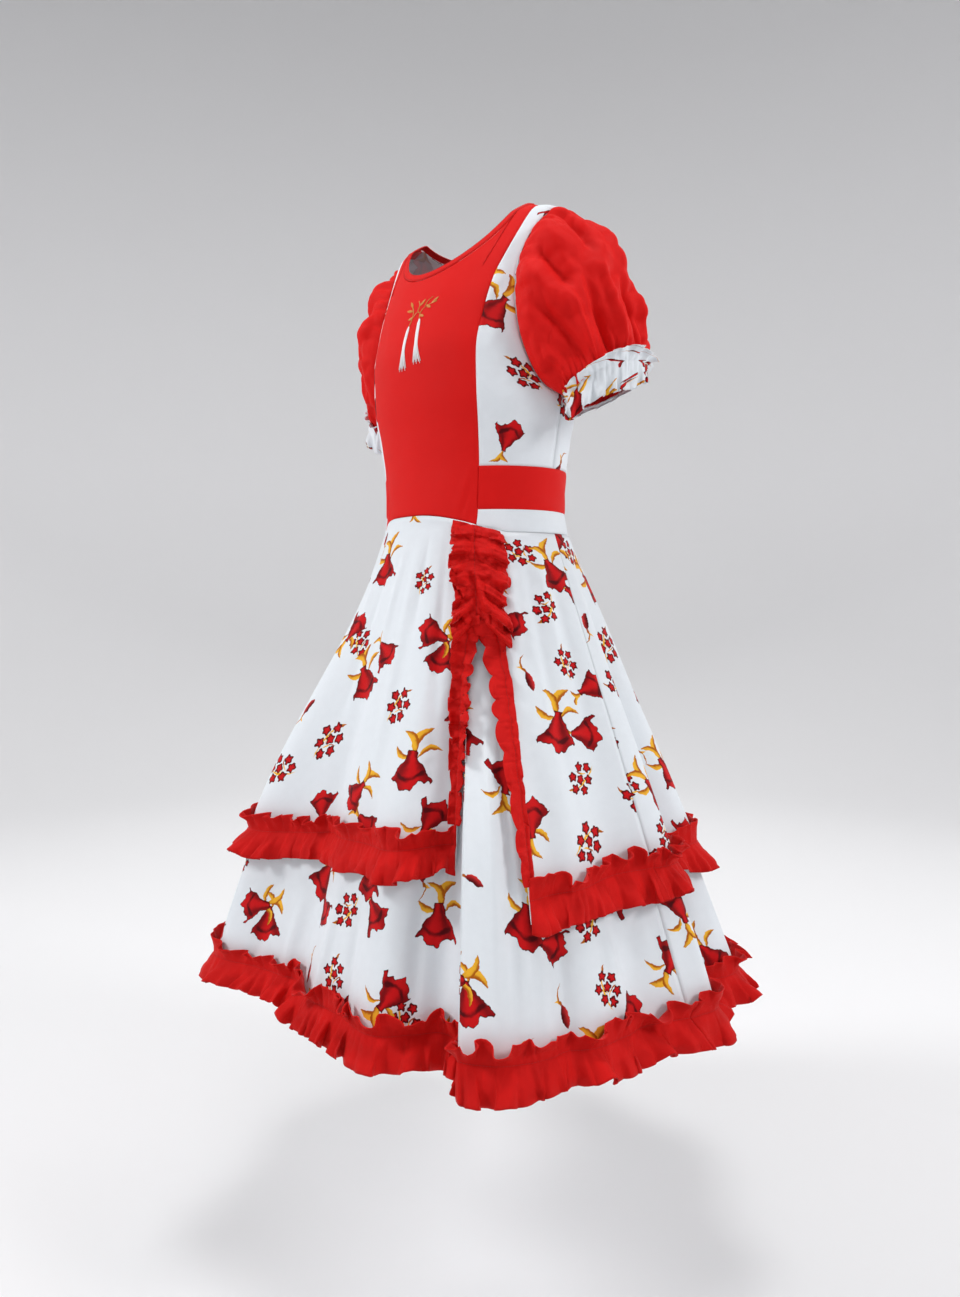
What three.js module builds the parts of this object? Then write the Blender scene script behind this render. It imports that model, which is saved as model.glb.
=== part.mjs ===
// A folk dress of woven cloth, as it hangs when worn, hollow and open at neck, cuffs and hem.
// A fitted bodice with princess seams and puff sleeves carries a flared underskirt with a
// frilled hem, and over it a shorter overskirt that is split at the wearer's left front.
//
// Millimetres, +Z up. The origin is on the top of the shoulders. The front faces -Y, and the
// wearer's left is +X. Plan angles are in degrees: 0 at the centre front, 90 at the wearer's
// left side, 180 at the centre back.
import * as THREE from "three";

// ---------------------------------------------------------------- driving dimensions
const CLOTH = 1.5; // thickness of every cloth wall
const SEAM_GAP = 0.3; // between two pieces sewn edge to edge
const LAY_GAP = 0.5; // between a piece and the one it lies on
const WIDEST = 155; // any half width of the bodice is under this

// Horizontal sections of the bodice: the half width, and the depth before and behind the sides.
const TORSO = [
  { z: 0, half: 97, front: 12, back: 12 }, // side of the neck
  { z: -4, half: 107, front: 20, back: 19 }, // neck seam of the shoulder
  { z: -11, half: 125, front: 30, back: 28 }, // princess seam meets the shoulder
  { z: -20, half: 148, front: 40, back: 37 }, // shoulder point
  { z: -40, half: 151, front: 56, back: 54 },
  { z: -84, half: 150, front: 84, back: 78 },
  { z: -149, half: 149, front: 113, back: 98 },
  { z: -200, half: 150, front: 125, back: 105 }, // bust
  { z: -252, half: 152, front: 121, back: 104 }, // underarm
  { z: -300, half: 145, front: 112, back: 99 },
  { z: -343, half: 138, front: 107.5, back: 97 }, // top of the belt
  { z: -396, half: 135, front: 107, back: 97 }, // waist
  { z: -424, half: 139, front: 111, back: 101 }, // skirt seam
];
// Distance of the princess seam from the middle of the body, by height.
const PRINCESS = [
  { z: -11, x: 125 },
  { z: -20, x: 123 },
  { z: -42, x: 118 },
  { z: -77, x: 110 },
  { z: -110, x: 103 },
  { z: -149, x: 100 },
  { z: -200, x: 97 },
  { z: -252, x: 96 },
  { z: -300, x: 92 },
  { z: -343, x: 89 },
  { z: -396, x: 87 },
  { z: -424, x: 87 },
];
// Armhole seam, before and behind the arm.
const ARMHOLE = [
  { z: -20, front: 148, back: 148 },
  { z: -40, front: 136, back: 140 },
  { z: -66, front: 127.5, back: 132 },
  { z: -97, front: 124, back: 130 },
  { z: -132, front: 125.5, back: 130 },
  { z: -168, front: 130, back: 132 },
  { z: -200, front: 135.5, back: 137 },
  { z: -226, front: 141.5, back: 142.5 },
  { z: -244, front: 147.5, back: 148 },
  { z: -252, front: 152, back: 152 },
];
// Rows of the bodice from the belt up: where each row meets the princess seam, the side (side
// seam, then armhole) and the centre back.
const BODICE_ROWS = [
  { princess: -343, side: -343, back: -343 },
  { princess: -300, side: -298, back: -306 },
  { princess: -258, side: -252, back: -270 },
  { princess: -236, side: -244, back: -244 },
  { princess: -211, side: -226, back: -218 },
  { princess: -185, side: -200, back: -192 },
  { princess: -158, side: -168, back: -166 },
  { princess: -130, side: -132, back: -140 },
  { princess: -101, side: -97, back: -114 },
  { princess: -72, side: -66, back: -88 },
  { princess: -40, side: -40, back: -63 },
  { princess: -11, side: -20, back: -41 },
];
const UNDERARM_ROW = 2;
const BELT_TOP = -343,
  WAIST = -396,
  FRONT_PANEL_BOTTOM = -415, // at the princess seams
  FRONT_SEAM_RISE = 15, // from there to the centre front
  YOKE_BOTTOM = -424;

// The neck: an inner edge, and the edge of the panels under the binding. Each is a scoop that
// falls from the shoulder line by its drop, before and behind.
const NECK_EDGE = { shoulder: 0, front: 84, back: 32 };
const NECK_SEAM = { shoulder: -4, front: 89, back: 37 };
const SCOOP_POWER = 1.2; // over 1, so that the scoop is a little pointed at the middle
const FRONT_NECK_TURNS = [0, 24, 47, 67, 82, 90]; // degrees from the middle to the shoulder
const BACK_NECK_TURNS = [0, 20, 40, 62, 80, 90];
const SHOULDER_STEPS = [-4, -11, -20]; // heights of the shoulder seam's points

// Plan angles of the points on the side front's and the back's lower edges.
const SIDE_FRONT_ANGLES = [54, 62, 76, 90];
const BACK_ANGLES = [90, 103, 116, 129, 142, 155, 168, 180];

// Left sleeve: sections from the armhole (t = 0) to the elastic (t = 1), each by its highest,
// foremost, lowest and rearmost point. The lowest stays close to the body.
const SLEEVE = [
  { t: 0, top: [148, 0, -20], front: [126, -58, -130], under: [152, 0, -252], back: [130, 64, -130] },
  { t: 0.1, top: [163, 4, -24], front: [138, -66, -130], under: [158, 1, -256], back: [142, 77, -130] },
  { t: 0.26, top: [181, 10, -38], front: [154, -70, -138], under: [163, 3, -259], back: [160, 88, -136] },
  { t: 0.46, top: [203, 22, -72], front: [172, -62, -158], under: [167, 8, -261], back: [180, 93, -156] },
  { t: 0.66, top: [219, 34, -124], front: [186, -46, -186], under: [168, 13, -262], back: [196, 88, -182] },
  { t: 0.82, top: [229, 42, -172], front: [194, -30, -212], under: [167, 17, -263], back: [206, 79, -206] },
  { t: 0.93, top: [234, 44, -202], front: [199, -20, -232], under: [165, 18, -264], back: [208, 72, -226] },
  { t: 1, top: [236, 41, -218], front: [201, -17, -245], under: [164, 12, -270], back: [206, 67, -240] },
];
const CUFF = { drop: 24, spread: 7, lift: 2.8, wave: 5, elastic: 0.9 };

// Skirts: a cone whose sections grow from the waist to the hem.
const SKIRT_TOP = { z: -415, half: 136.5, front: 108.5, back: 99.5 };
const SKIRT_HEM = { z: -1000, half: 348, front: 288, back: 338 };
const FRONT_WAIST_ANGLE = 46.7, // the skirt's seam is higher between the princess seams
  SIDE_WAIST_ANGLE = 62;
// Folds of both skirts: where each crest or trough is, how far it reaches to either side, how
// deep it is at the hem, and how square its top is (2 is a soft wave).
const FOLDS = [
  { at: -153, left: 9, right: 9, depth: 20, square: 2 },
  { at: -135, left: 8, right: 8, depth: -15, square: 2 },
  { at: -117, left: 9, right: 8, depth: 18, square: 2 },
  { at: -99, left: 8, right: 9, depth: -10, square: 2 },
  { at: -81, left: 8, right: 8, depth: 12, square: 2 },
  { at: -63, left: 8, right: 8, depth: -12, square: 2 },
  { at: -36, left: 11, right: 9, depth: 56, square: 2 },
  { at: -12, left: 7, right: 8, depth: -17, square: 2 },
  { at: 23, left: 8, right: 7, depth: 20, square: 2 },
  { at: 37.5, left: 5, right: 4, depth: -15, square: 2 },
  { at: 67, left: 5, right: 6, depth: 10, square: 2 },
  { at: 81, left: 8, right: 8, depth: -12, square: 2 },
  { at: 97, left: 9, right: 5, depth: 16, square: 2 },
  { at: 105.5, left: 4.5, right: 5.5, depth: -30, square: 2 },
  { at: 117, left: 7, right: 9, depth: 17, square: 2 },
  { at: 135, left: 8, right: 8, depth: -14, square: 2 },
  { at: 157, left: 9, right: 9, depth: 21, square: 2 },
  { at: 180, left: 9, right: 9, depth: -13, square: 2 },
];
const FOLD_START = -440, // the folds grow from here
  FOLD_FULL = -800; // to here
// The underskirt stands out through the split of the overskirt as one broad fold, whose front
// edge is sharp.
const SPLIT_FOLD = { at: 42, left: 0.35, right: 18, depth: 42, square: 4, start: -560, full: -800 };
// Plan angles of the overskirt's two edges at the split, by height.
const SPLIT_EDGES = [
  { z: -400, front: 46, side: 48.5 },
  { z: -455, front: 45, side: 50.5 },
  { z: -520, front: 42.8, side: 53 },
  { z: -600, front: 40, side: 55.4 },
  { z: -860, front: 39.6, side: 56.2 },
];
// Height of the lower edge of the overskirt's frill, by plan angle.
const OVERSKIRT_EDGE = [
  { angle: -302, z: -853 },
  { angle: -270, z: -844 },
  { angle: -180, z: -842 },
  { angle: -90, z: -842 },
  { angle: -31, z: -837 },
  { angle: -8, z: -824 },
  { angle: 20, z: -818 },
  { angle: 42, z: -811 },
];
const FRILL_HEIGHT = 53,
  FRILL_GATHER = 0.4; // the gathering line, as a part of the height from the top
const HEM_FRILL_BOTTOM = -999;
const HEM_REACH = 12; // a skirt's own edge ends this far above its frill's
const SKIRT_SPACE = { waist: 0.9, full: 7, from: -424, to: -600 }; // between the two skirts
// Columns of the skirts, as plan angles. Seams of the gores lie at -90, 90 and 180.
const SKIRT_ANGLES = [
  -180, -171, -162, -153, -144, -135, -126, -117, -108, -99, -90, -81, -72, -63, -54, -46.7, -41,
  -35.5, -29, -22, -15, -8, -1, 7.5, 15.5, 23, 28.5, 34, 38, 41.2, 42, 46.7, 52, 57, 62, 67.5, 73,
  79, 84.5, 90, 97, 101.5, 105.5, 111, 117, 126, 135, 144, 153, 162, 171,
];
const OVERSKIRT_FRONT_LAST = 38, // the last full columns beside the split
  OVERSKIRT_SIDE_FIRST = 57;
// Rows of a skirt: its seam, and then parts of its height under SKIRT_FIRST_ROW.
const SKIRT_ROWS = [0, 0, 0.13, 0.31, 0.54, 0.78, 1];
const SKIRT_FIRST_ROW = -432;

// ---------------------------------------------------------------- colours
const RED = new THREE.MeshStandardMaterial({ color: 0xc81414, roughness: 0.75 });
const PRINT = new THREE.MeshStandardMaterial({ color: 0xe4e6e8, roughness: 0.8 });
const WHITE = new THREE.MeshStandardMaterial({ color: 0xf0f0f0, roughness: 0.8 });

// ---------------------------------------------------------------- helpers
const rad = THREE.MathUtils.degToRad;
const lerp = THREE.MathUtils.lerp;
const clamp = THREE.MathUtils.clamp;
const ease = (x, from, to) => THREE.MathUtils.smoothstep((x - from) / (to - from), 0, 1);
const vec = (x, y, z) => new THREE.Vector3(x, y, z);
const steps = (count) => Array.from({ length: count + 1 }, (_, i) => i);
const mirrorX = (p) => vec(-p.x, p.y, p.z);

// A smooth curve through the rows of a table that never overshoots them.
function profile(rows, key, value) {
  const sorted = [...rows].sort((p, q) => p[key] - q[key]);
  const x = sorted.map((row) => row[key]);
  const y = sorted.map((row) => row[value]);
  const slope = x.slice(1).map((right, i) => (y[i + 1] - y[i]) / (right - x[i]));
  const tangent = x.map((_, i) => {
    const before = slope[Math.max(i - 1, 0)];
    const after = slope[Math.min(i, slope.length - 1)];
    return before * after <= 0 ? 0 : (2 * before * after) / (before + after);
  });
  return (at) => {
    const t = clamp(at, x[0], x[x.length - 1]);
    const i = Math.max(0, Math.min(x.length - 2, x.findIndex((right) => right >= t) - 1));
    const width = x[i + 1] - x[i];
    const s = (t - x[i]) / width;
    const s2 = s * s;
    const s3 = s2 * s;
    return (
      (2 * s3 - 3 * s2 + 1) * y[i] +
      (s3 - 2 * s2 + s) * width * tangent[i] +
      (3 * s2 - 2 * s3) * y[i + 1] +
      (s3 - s2) * width * tangent[i + 1]
    );
  };
}

// Straight lines through the rows of a table, whose keys rise or fall.
function polyline(rows, key, value) {
  const last = rows.length - 1;
  const rising = rows[last][key] > rows[0][key];
  return (at) => {
    const found = rows.findIndex((row) => (rising ? row[key] >= at : row[key] <= at));
    const next = found < 0 ? last : Math.max(found, 1);
    const [a, b] = [rows[next - 1], rows[next]];
    return lerp(a[value], b[value], clamp((at - a[key]) / (b[key] - a[key]), 0, 1));
  };
}

// A closed wall of cloth. points[i][j] lies on the outer face and normals[i][j] points out.
// `ring` joins the last column to the first. `inset` draws the edges of the wall back.
function clothWall(points, normals, { ring = false, thickness = CLOTH, inset = SEAM_GAP / 2 } = {}) {
  const columns = points.length;
  const rows = points[0].length;
  const drawn = points.map((column) => column.map((p) => p.clone()));
  const draw = (i, j, toI, toJ) => {
    const pull = points[toI][toJ].clone().sub(points[i][j]).setLength(inset);
    drawn[i][j].add(pull);
  };
  for (const i of steps(columns - 1)) {
    draw(i, 0, i, 1);
    draw(i, rows - 1, i, rows - 2);
  }
  if (!ring)
    for (const j of steps(rows - 1)) {
      draw(0, j, 1, j);
      draw(columns - 1, j, columns - 2, j);
    }
  const position = [];
  for (const depth of [0, thickness])
    drawn.forEach((column, i) =>
      column.forEach((p, j) => position.push(...p.clone().addScaledVector(normals[i][j], -depth).toArray())),
    );
  const at = (i, j, side) => side * columns * rows + (i % columns) * rows + j;
  const index = [];
  const quad = (a, b, c, d) => index.push(a, b, c, a, c, d);
  const lastColumn = ring ? columns : columns - 1;
  for (let i = 0; i < lastColumn; i++) {
    for (let j = 0; j < rows - 1; j++) {
      quad(at(i, j, 0), at(i + 1, j, 0), at(i + 1, j + 1, 0), at(i, j + 1, 0));
      quad(at(i, j, 1), at(i, j + 1, 1), at(i + 1, j + 1, 1), at(i + 1, j, 1));
    }
    quad(at(i, 0, 1), at(i + 1, 0, 1), at(i + 1, 0, 0), at(i, 0, 0));
    quad(at(i, rows - 1, 0), at(i + 1, rows - 1, 0), at(i + 1, rows - 1, 1), at(i, rows - 1, 1));
  }
  if (!ring)
    for (let j = 0; j < rows - 1; j++) {
      quad(at(0, j, 0), at(0, j + 1, 0), at(0, j + 1, 1), at(0, j, 1));
      quad(at(columns - 1, j, 1), at(columns - 1, j + 1, 1), at(columns - 1, j + 1, 0), at(columns - 1, j, 0));
    }
  if (signedVolume(position, index) < 0) index.reverse();
  const geometry = new THREE.BufferGeometry();
  geometry.setAttribute("position", new THREE.Float32BufferAttribute(position, 3));
  geometry.setIndex(index);
  geometry.computeVertexNormals();
  return geometry;
}

function signedVolume(position, index) {
  const corner = (k) => vec(...position.slice(3 * index[k], 3 * index[k] + 3));
  let volume = 0;
  for (let k = 0; k < index.length; k += 3)
    volume += corner(k).dot(corner(k + 1).cross(corner(k + 2))) / 6;
  return volume;
}

// Normals of a grid of points from the neighbours of each, turned to the side of
// `outward(p, row)`.
function gridNormals(points, ring, outward) {
  const columns = points.length;
  const rows = points[0].length;
  const column = (i) => (ring ? points[(i + columns) % columns] : points[clamp(i, 0, columns - 1)]);
  return points.map((_, i) =>
    steps(rows - 1).map((j) => {
      const across = column(i + 1)[j].clone().sub(column(i - 1)[j]);
      const along = column(i)[Math.min(j + 1, rows - 1)].clone().sub(column(i)[Math.max(j - 1, 0)]);
      const normal = across.cross(along).normalize();
      return normal.dot(outward(points[i][j], j)) < 0 ? normal.negate() : normal;
    }),
  );
}

// ---------------------------------------------------------------- bodice
const halfWidth = profile(TORSO, "z", "half");
const depthOf = { front: profile(TORSO, "z", "front"), back: profile(TORSO, "z", "back") };
const princessX = profile(PRINCESS, "z", "x");
const armholeX = { front: profile(ARMHOLE, "z", "front"), back: profile(ARMHOLE, "z", "back") };

// A point of the bodice, and its outward normal, from its distance from the middle.
function torsoAt(x, z, face) {
  const sign = face === "front" ? -1 : 1;
  const half = halfWidth(z);
  const depth = depthOf[face](z);
  const s = clamp(x / half, -1, 1);
  const c = Math.sqrt(1 - s * s);
  const dz = 0.5;
  const halfSlope = (halfWidth(z + dz) - halfWidth(z - dz)) / (2 * dz);
  const depthSlope = (depthOf[face](z + dz) - depthOf[face](z - dz)) / (2 * dz);
  const rise = -(half * depthSlope * c * c + depth * halfSlope * s * s);
  return {
    point: vec(half * s, sign * depth * c, z),
    normal: vec(depth * s, sign * half * c, rise).normalize(),
  };
}

// The distance from the middle at which the bodice has a plan angle.
function xAtAngle(angle, z) {
  const depth = depthOf[angle < 90 ? "front" : "back"](z);
  const [s, c] = [Math.sin(rad(angle)), Math.cos(rad(angle))];
  return s / Math.hypot(s / halfWidth(z), c / depth);
}

// Panels are laid out in turn and height: x is WIDEST times the sine of the turn.
const laid = (x, z) => ({ turn: Math.asin(clamp(x / WIDEST, -1, 1)), z });

// A panel between four edges, each a list of laid points. Its inside follows all four.
function bodicePanel({ left, right, bottom, top }, face) {
  const grid = bottom.map((low, i) => {
    const s = i / (bottom.length - 1);
    return left.map((_, j) => {
      const v = j / (left.length - 1);
      const blend = (key) =>
        lerp(left[j][key], right[j][key], s) +
        lerp(low[key], top[i][key], v) -
        lerp(lerp(left[0][key], right[0][key], s), lerp(left.at(-1)[key], right.at(-1)[key], s), v);
      return torsoAt(WIDEST * Math.sin(blend("turn")), blend("z"), face);
    });
  });
  return clothWall(
    grid.map((column) => column.map((place) => place.point)),
    grid.map((column) => column.map((place) => place.normal)),
  );
}

// Points of a neck scoop on one side of the body, from the middle to the shoulder.
function scoop(neck, face, turns) {
  const half = halfWidth(neck.shoulder);
  return turns.map((turn) =>
    laid(
      half * Math.sin(rad(turn)),
      neck.shoulder - neck[face] * Math.max(Math.cos(rad(turn)), 0) ** SCOOP_POWER,
    ),
  );
}
const otherSide = (points) => points.map((p) => ({ turn: -p.turn, z: p.z })).reverse();
const shoulderPoints = (heights) => heights.map((z) => laid(halfWidth(z), z));

// The front panel's lower edge, from -1 at one princess seam to 1 at the other.
const frontSeam = (part) => FRONT_PANEL_BOTTOM + FRONT_SEAM_RISE * (1 - part * part);
const frontSeamPlace = (part) => laid(part * princessX(FRONT_PANEL_BOTTOM), frontSeam(part));
const princessHeights = [FRONT_PANEL_BOTTOM, WAIST, ...BODICE_ROWS.map((row) => row.princess)];
const princessSeam = princessHeights.map((z) => laid(princessX(z), z));
const sideEdge = (face) =>
  BODICE_ROWS.map(({ side }, row) => laid(row < UNDERARM_ROW ? halfWidth(side) : armholeX[face](side), side));

function frontCentrePanel() {
  const scoopPoints = scoop(NECK_SEAM, "front", FRONT_NECK_TURNS);
  const halfTop = [...scoopPoints.slice(1), shoulderPoints([SHOULDER_STEPS[1]])[0]];
  const top = [...otherSide(halfTop), scoopPoints[0], ...halfTop];
  const bottom = top.map((_, i) =>
    frontSeamPlace(lerp(-1, 1, i / (top.length - 1))),
  );
  bottom[0].turn = -princessSeam[0].turn;
  bottom.at(-1).turn = princessSeam[0].turn;
  const left = princessSeam.map((p) => ({ turn: -p.turn, z: p.z }));
  return bodicePanel({ left, right: princessSeam, bottom, top }, "front");
}

function sideFrontPanel() {
  const left = princessSeam.slice(2);
  const right = sideEdge("front");
  const bottom = [left[0], ...SIDE_FRONT_ANGLES.map((angle) => laid(xAtAngle(angle, BELT_TOP), BELT_TOP))];
  const [, inner, outer] = SHOULDER_STEPS;
  const top = shoulderPoints(bottom.map((_, i) => lerp(inner, outer, i / (bottom.length - 1))));
  return bodicePanel({ left, right, bottom, top }, "front");
}

function backPanel() {
  const left = BODICE_ROWS.map((row) => laid(0, row.back));
  const right = sideEdge("back");
  const bottom = [...BACK_ANGLES].reverse().map((angle) => laid(xAtAngle(angle, BELT_TOP), BELT_TOP));
  const top = [...scoop(NECK_SEAM, "back", BACK_NECK_TURNS), ...shoulderPoints(SHOULDER_STEPS.slice(1))];
  return bodicePanel({ left, right, bottom, top }, "back");
}

// The other side's copy of a piece.
function mirrored(geometry) {
  const copy = geometry.clone().applyMatrix4(new THREE.Matrix4().makeScale(-1, 1, 1));
  copy.setIndex([...copy.index.array].reverse());
  copy.computeVertexNormals();
  return copy;
}

function neckBinding() {
  const edges = (neck) => {
    const front = scoop(neck, "front", FRONT_NECK_TURNS);
    const back = scoop(neck, "back", BACK_NECK_TURNS);
    const place = (face) => (p) => torsoAt(WIDEST * Math.sin(p.turn), p.z, face);
    return [
      ...otherSide(front).map(place("front")),
      ...front.slice(1).map(place("front")),
      ...[...back].reverse().slice(1).map(place("back")),
      ...otherSide(back).reverse().slice(1, -1).map(place("back")),
    ];
  };
  const [inner, outer] = [edges(NECK_EDGE), edges(NECK_SEAM)];
  return clothWall(
    inner.map((place, i) => [place.point, outer[i].point]),
    inner.map((place, i) => [place.normal, outer[i].normal]),
    { ring: true },
  );
}

// The skirt's seam: higher between the princess seams than at the sides and back.
const skirtSeam = (angle) =>
  lerp(
    frontSeam(clamp(angle / FRONT_WAIST_ANGLE, -1, 1)),
    YOKE_BOTTOM,
    clamp((Math.abs(angle) - FRONT_WAIST_ANGLE) / (SIDE_WAIST_ANGLE - FRONT_WAIST_ANGLE), 0, 1),
  );

// A band from princess seam to princess seam by way of the back.
function waistBand(topZ, bottomAt) {
  const half = [...SIDE_FRONT_ANGLES, ...BACK_ANGLES.slice(1)];
  const placed = (angle, z) => torsoAt(xAtAngle(angle, z), z, angle < 90 ? "front" : "back");
  const columns = [
    [bottomAt(FRONT_WAIST_ANGLE), topZ].map((z) => torsoAt(princessX(z), z, "front")),
    ...half.map((angle) => [bottomAt(angle), topZ].map((z) => placed(angle, z))),
  ];
  const flip = ({ point, normal }) => ({ point: mirrorX(point), normal: mirrorX(normal) });
  const all = [...columns, ...columns.slice(0, -1).reverse().map((column) => column.map(flip))];
  return clothWall(
    all.map((column) => column.map((place) => place.point)),
    all.map((column) => column.map((place) => place.normal)),
  );
}

// ---------------------------------------------------------------- sleeves
// The armhole as a loop: down before the arm from the shoulder point, and up behind it.
function armholeLoop() {
  const heights = BODICE_ROWS.slice(UNDERARM_ROW).map((row) => row.side);
  const seam = (face) => heights.map((z) => torsoAt(armholeX[face](z), z, face).point);
  return [...seam("front").reverse(), ...seam("back").slice(1, -1)];
}

// The sleeve's sections are bent to meet the armhole, by less and less from there.
const ARMHOLE_FADE = 3;
function sleeveGrid() {
  const loop = armholeLoop();
  const section = (row, turn) => {
    const [top, front, under, back] = ["top", "front", "under", "back"].map((key) => vec(...row[key]));
    const c = Math.cos(turn);
    const s = Math.sin(turn);
    const upright = top.clone().add(under).multiplyScalar((c * c) / 2);
    const level = front.clone().add(back).multiplyScalar((s * s) / 2);
    return upright.add(level).addScaledVector(top.sub(under), c / 2).addScaledVector(front.sub(back), s / 2);
  };
  return loop.map((seamPoint, i) => {
    const turn = (2 * Math.PI * i) / loop.length;
    const error = seamPoint.clone().sub(section(SLEEVE[0], turn));
    return SLEEVE.map((row) => section(row, turn).addScaledVector(error, (1 - row.t) ** ARMHOLE_FADE));
  });
}

const rowCentre = (points, row) =>
  points.reduce((sum, column) => sum.addScaledVector(column[row], 1 / points.length), vec(0, 0, 0));
const fromRowCentre = (points) => (p, row) => p.clone().sub(rowCentre(points, row));
const sleevePoints = sleeveGrid();
const sleeveNormals = gridNormals(sleevePoints, true, fromRowCentre(sleevePoints));

// The sleeve starts clear of the armhole seam.
function sleeve() {
  const points = sleevePoints.map((column) => column.map((p) => p.clone()));
  points.forEach((column) => column[0].add(column[1].clone().sub(column[0]).setLength(LAY_GAP)));
  return clothWall(points, sleeveNormals, { ring: true });
}

// The frill is sewn round the sleeve's end: it stands out above the elastic and below it.
function cuffFrill() {
  const last = SLEEVE.length - 1;
  const down = rowCentre(sleevePoints, last).sub(rowCentre(sleevePoints, last - 1)).normalize();
  const points = sleevePoints.map((column, i) => {
    const out = sleeveNormals[i][last];
    const wave = i % 2 ? CUFF.wave : 0;
    const above = column[last - 1].clone().addScaledVector(sleeveNormals[i][last - 1], CLOTH + CUFF.lift + wave);
    const elastic = column[last].clone().addScaledVector(out, CLOTH + CUFF.elastic);
    const below = column[last].clone().addScaledVector(down, CUFF.drop).addScaledVector(out, CUFF.spread + wave);
    return [above, elastic, below];
  });
  return clothWall(points, gridNormals(points, true, fromRowCentre(points)), { ring: true });
}

// ---------------------------------------------------------------- skirts
const bump = (fold, angle) => {
  const away = ((angle - fold.at + 540) % 360) - 180;
  return fold.depth * Math.exp(-(Math.abs(away / (away < 0 ? fold.left : fold.right)) ** fold.square));
};
const splitEdge = { front: polyline(SPLIT_EDGES, "z", "front"), side: polyline(SPLIT_EDGES, "z", "side") };
const overskirtEdge = polyline(OVERSKIRT_EDGE, "angle", "z");

const SKIRT_OVERRUN = 1.02; // the form goes on a little past the hem
// A point of the outer skirt's form. `inward` draws it in towards the body.
function skirtAt(angle, z, inward = 0) {
  const share = clamp((SKIRT_TOP.z - z) / (SKIRT_TOP.z - SKIRT_HEM.z), 0, SKIRT_OVERRUN);
  const rounding = Math.cos(rad(angle)) > 0 ? "front" : "back";
  const half = lerp(SKIRT_TOP.half, SKIRT_HEM.half, share);
  const depth = lerp(SKIRT_TOP[rounding], SKIRT_HEM[rounding], share);
  const [s, c] = [Math.sin(rad(angle)), Math.cos(rad(angle))];
  const folded = FOLDS.reduce((sum, fold) => sum + bump(fold, angle), 0);
  const standing = bump(SPLIT_FOLD, angle) * ease(-z, -SPLIT_FOLD.start, -SPLIT_FOLD.full);
  const radius = 1 / Math.hypot(s / half, c / depth) + folded * ease(-z, -FOLD_START, -FOLD_FULL) + standing;
  return vec((radius - inward) * s, -(radius - inward) * c, z);
}
const fromAxis = (p) => vec(p.x, p.y, 0);

// Columns of a skirt between its seam and its own lower edge.
function skirtGrid(angles, angleAt, lowerEdge, inwardAt) {
  return angles.map((angle) => {
    const top = skirtSeam(((angleAt(angle, FRONT_PANEL_BOTTOM) + 540) % 360) - 180) - LAY_GAP;
    return SKIRT_ROWS.map((share, row) => {
      const z = row ? lerp(SKIRT_FIRST_ROW, lowerEdge(angle), share) : top;
      return skirtAt(angleAt(angle, z), z, inwardAt(z));
    });
  });
}
const spaceAt = (z) =>
  CLOTH + lerp(SKIRT_SPACE.waist, SKIRT_SPACE.full, ease(-z, -SKIRT_SPACE.from, -SKIRT_SPACE.to));
const underskirtPoints = skirtGrid(SKIRT_ANGLES, (angle) => angle, () => HEM_FRILL_BOTTOM + HEM_REACH, spaceAt);
const underskirtNormals = gridNormals(underskirtPoints, true, fromAxis);

// The overskirt runs from the split's side edge round the back to its front edge.
const SIDE_EDGE = OVERSKIRT_SIDE_FIRST - 360 - 1;
const FRONT_EDGE = OVERSKIRT_FRONT_LAST + 1;
const overskirtAngles = [
  SIDE_EDGE,
  ...SKIRT_ANGLES.filter((angle) => angle >= OVERSKIRT_SIDE_FIRST).map((angle) => angle - 360),
  ...SKIRT_ANGLES.filter((angle) => angle <= OVERSKIRT_FRONT_LAST),
  FRONT_EDGE,
];
const overskirtAngleAt = (angle, z) => {
  if (angle === SIDE_EDGE) return splitEdge.side(z);
  return angle === FRONT_EDGE ? splitEdge.front(z) : angle;
};
const overskirtPoints = skirtGrid(
  overskirtAngles,
  overskirtAngleAt,
  (angle) => overskirtEdge(angle) + HEM_REACH,
  () => 0,
);
const overskirtNormals = gridNormals(overskirtPoints, false, fromAxis);

// A gore: the columns of a skirt from one plan angle to another.
const columnsOf = (angles, from, to) => {
  const first = angles.indexOf(from);
  const last = angles.indexOf(to);
  const count = ((last - first + angles.length) % angles.length) + 1;
  return steps(count - 1).map((k) => (first + k) % angles.length);
};
const gore = (points, normals, columns) =>
  clothWall(columns.map((i) => points[i]), columns.map((i) => normals[i]));

// A point on a skirt's outer face between its columns, at a height. Past the skirt's own edge
// it runs on straight.
function onSkirt(points, normals, columns, place, z) {
  const i = Math.min(Math.floor(place), columns.length - 2);
  const [left, right] = [columns[i], columns[i + 1]];
  const heights = (column) => points[column].map((p) => p.z);
  const along = (column) => {
    const z_ = heights(column);
    const j = clamp(z_.findIndex((low) => low <= z), 1, z_.length - 1) || z_.length - 1;
    const from = z_[z_.length - 1] > z ? z_.length - 1 : j;
    const share = (z - z_[from - 1]) / (z_[from] - z_[from - 1]);
    return {
      point: points[column][from - 1].clone().lerp(points[column][from], share),
      normal: normals[column][from - 1].clone().lerp(normals[column][from], clamp(share, 0, 1)),
    };
  };
  const [a, b] = [along(left), along(right)];
  return {
    point: a.point.lerp(b.point, place - i),
    normal: a.normal.lerp(b.normal, place - i).normalize(),
  };
}

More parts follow.
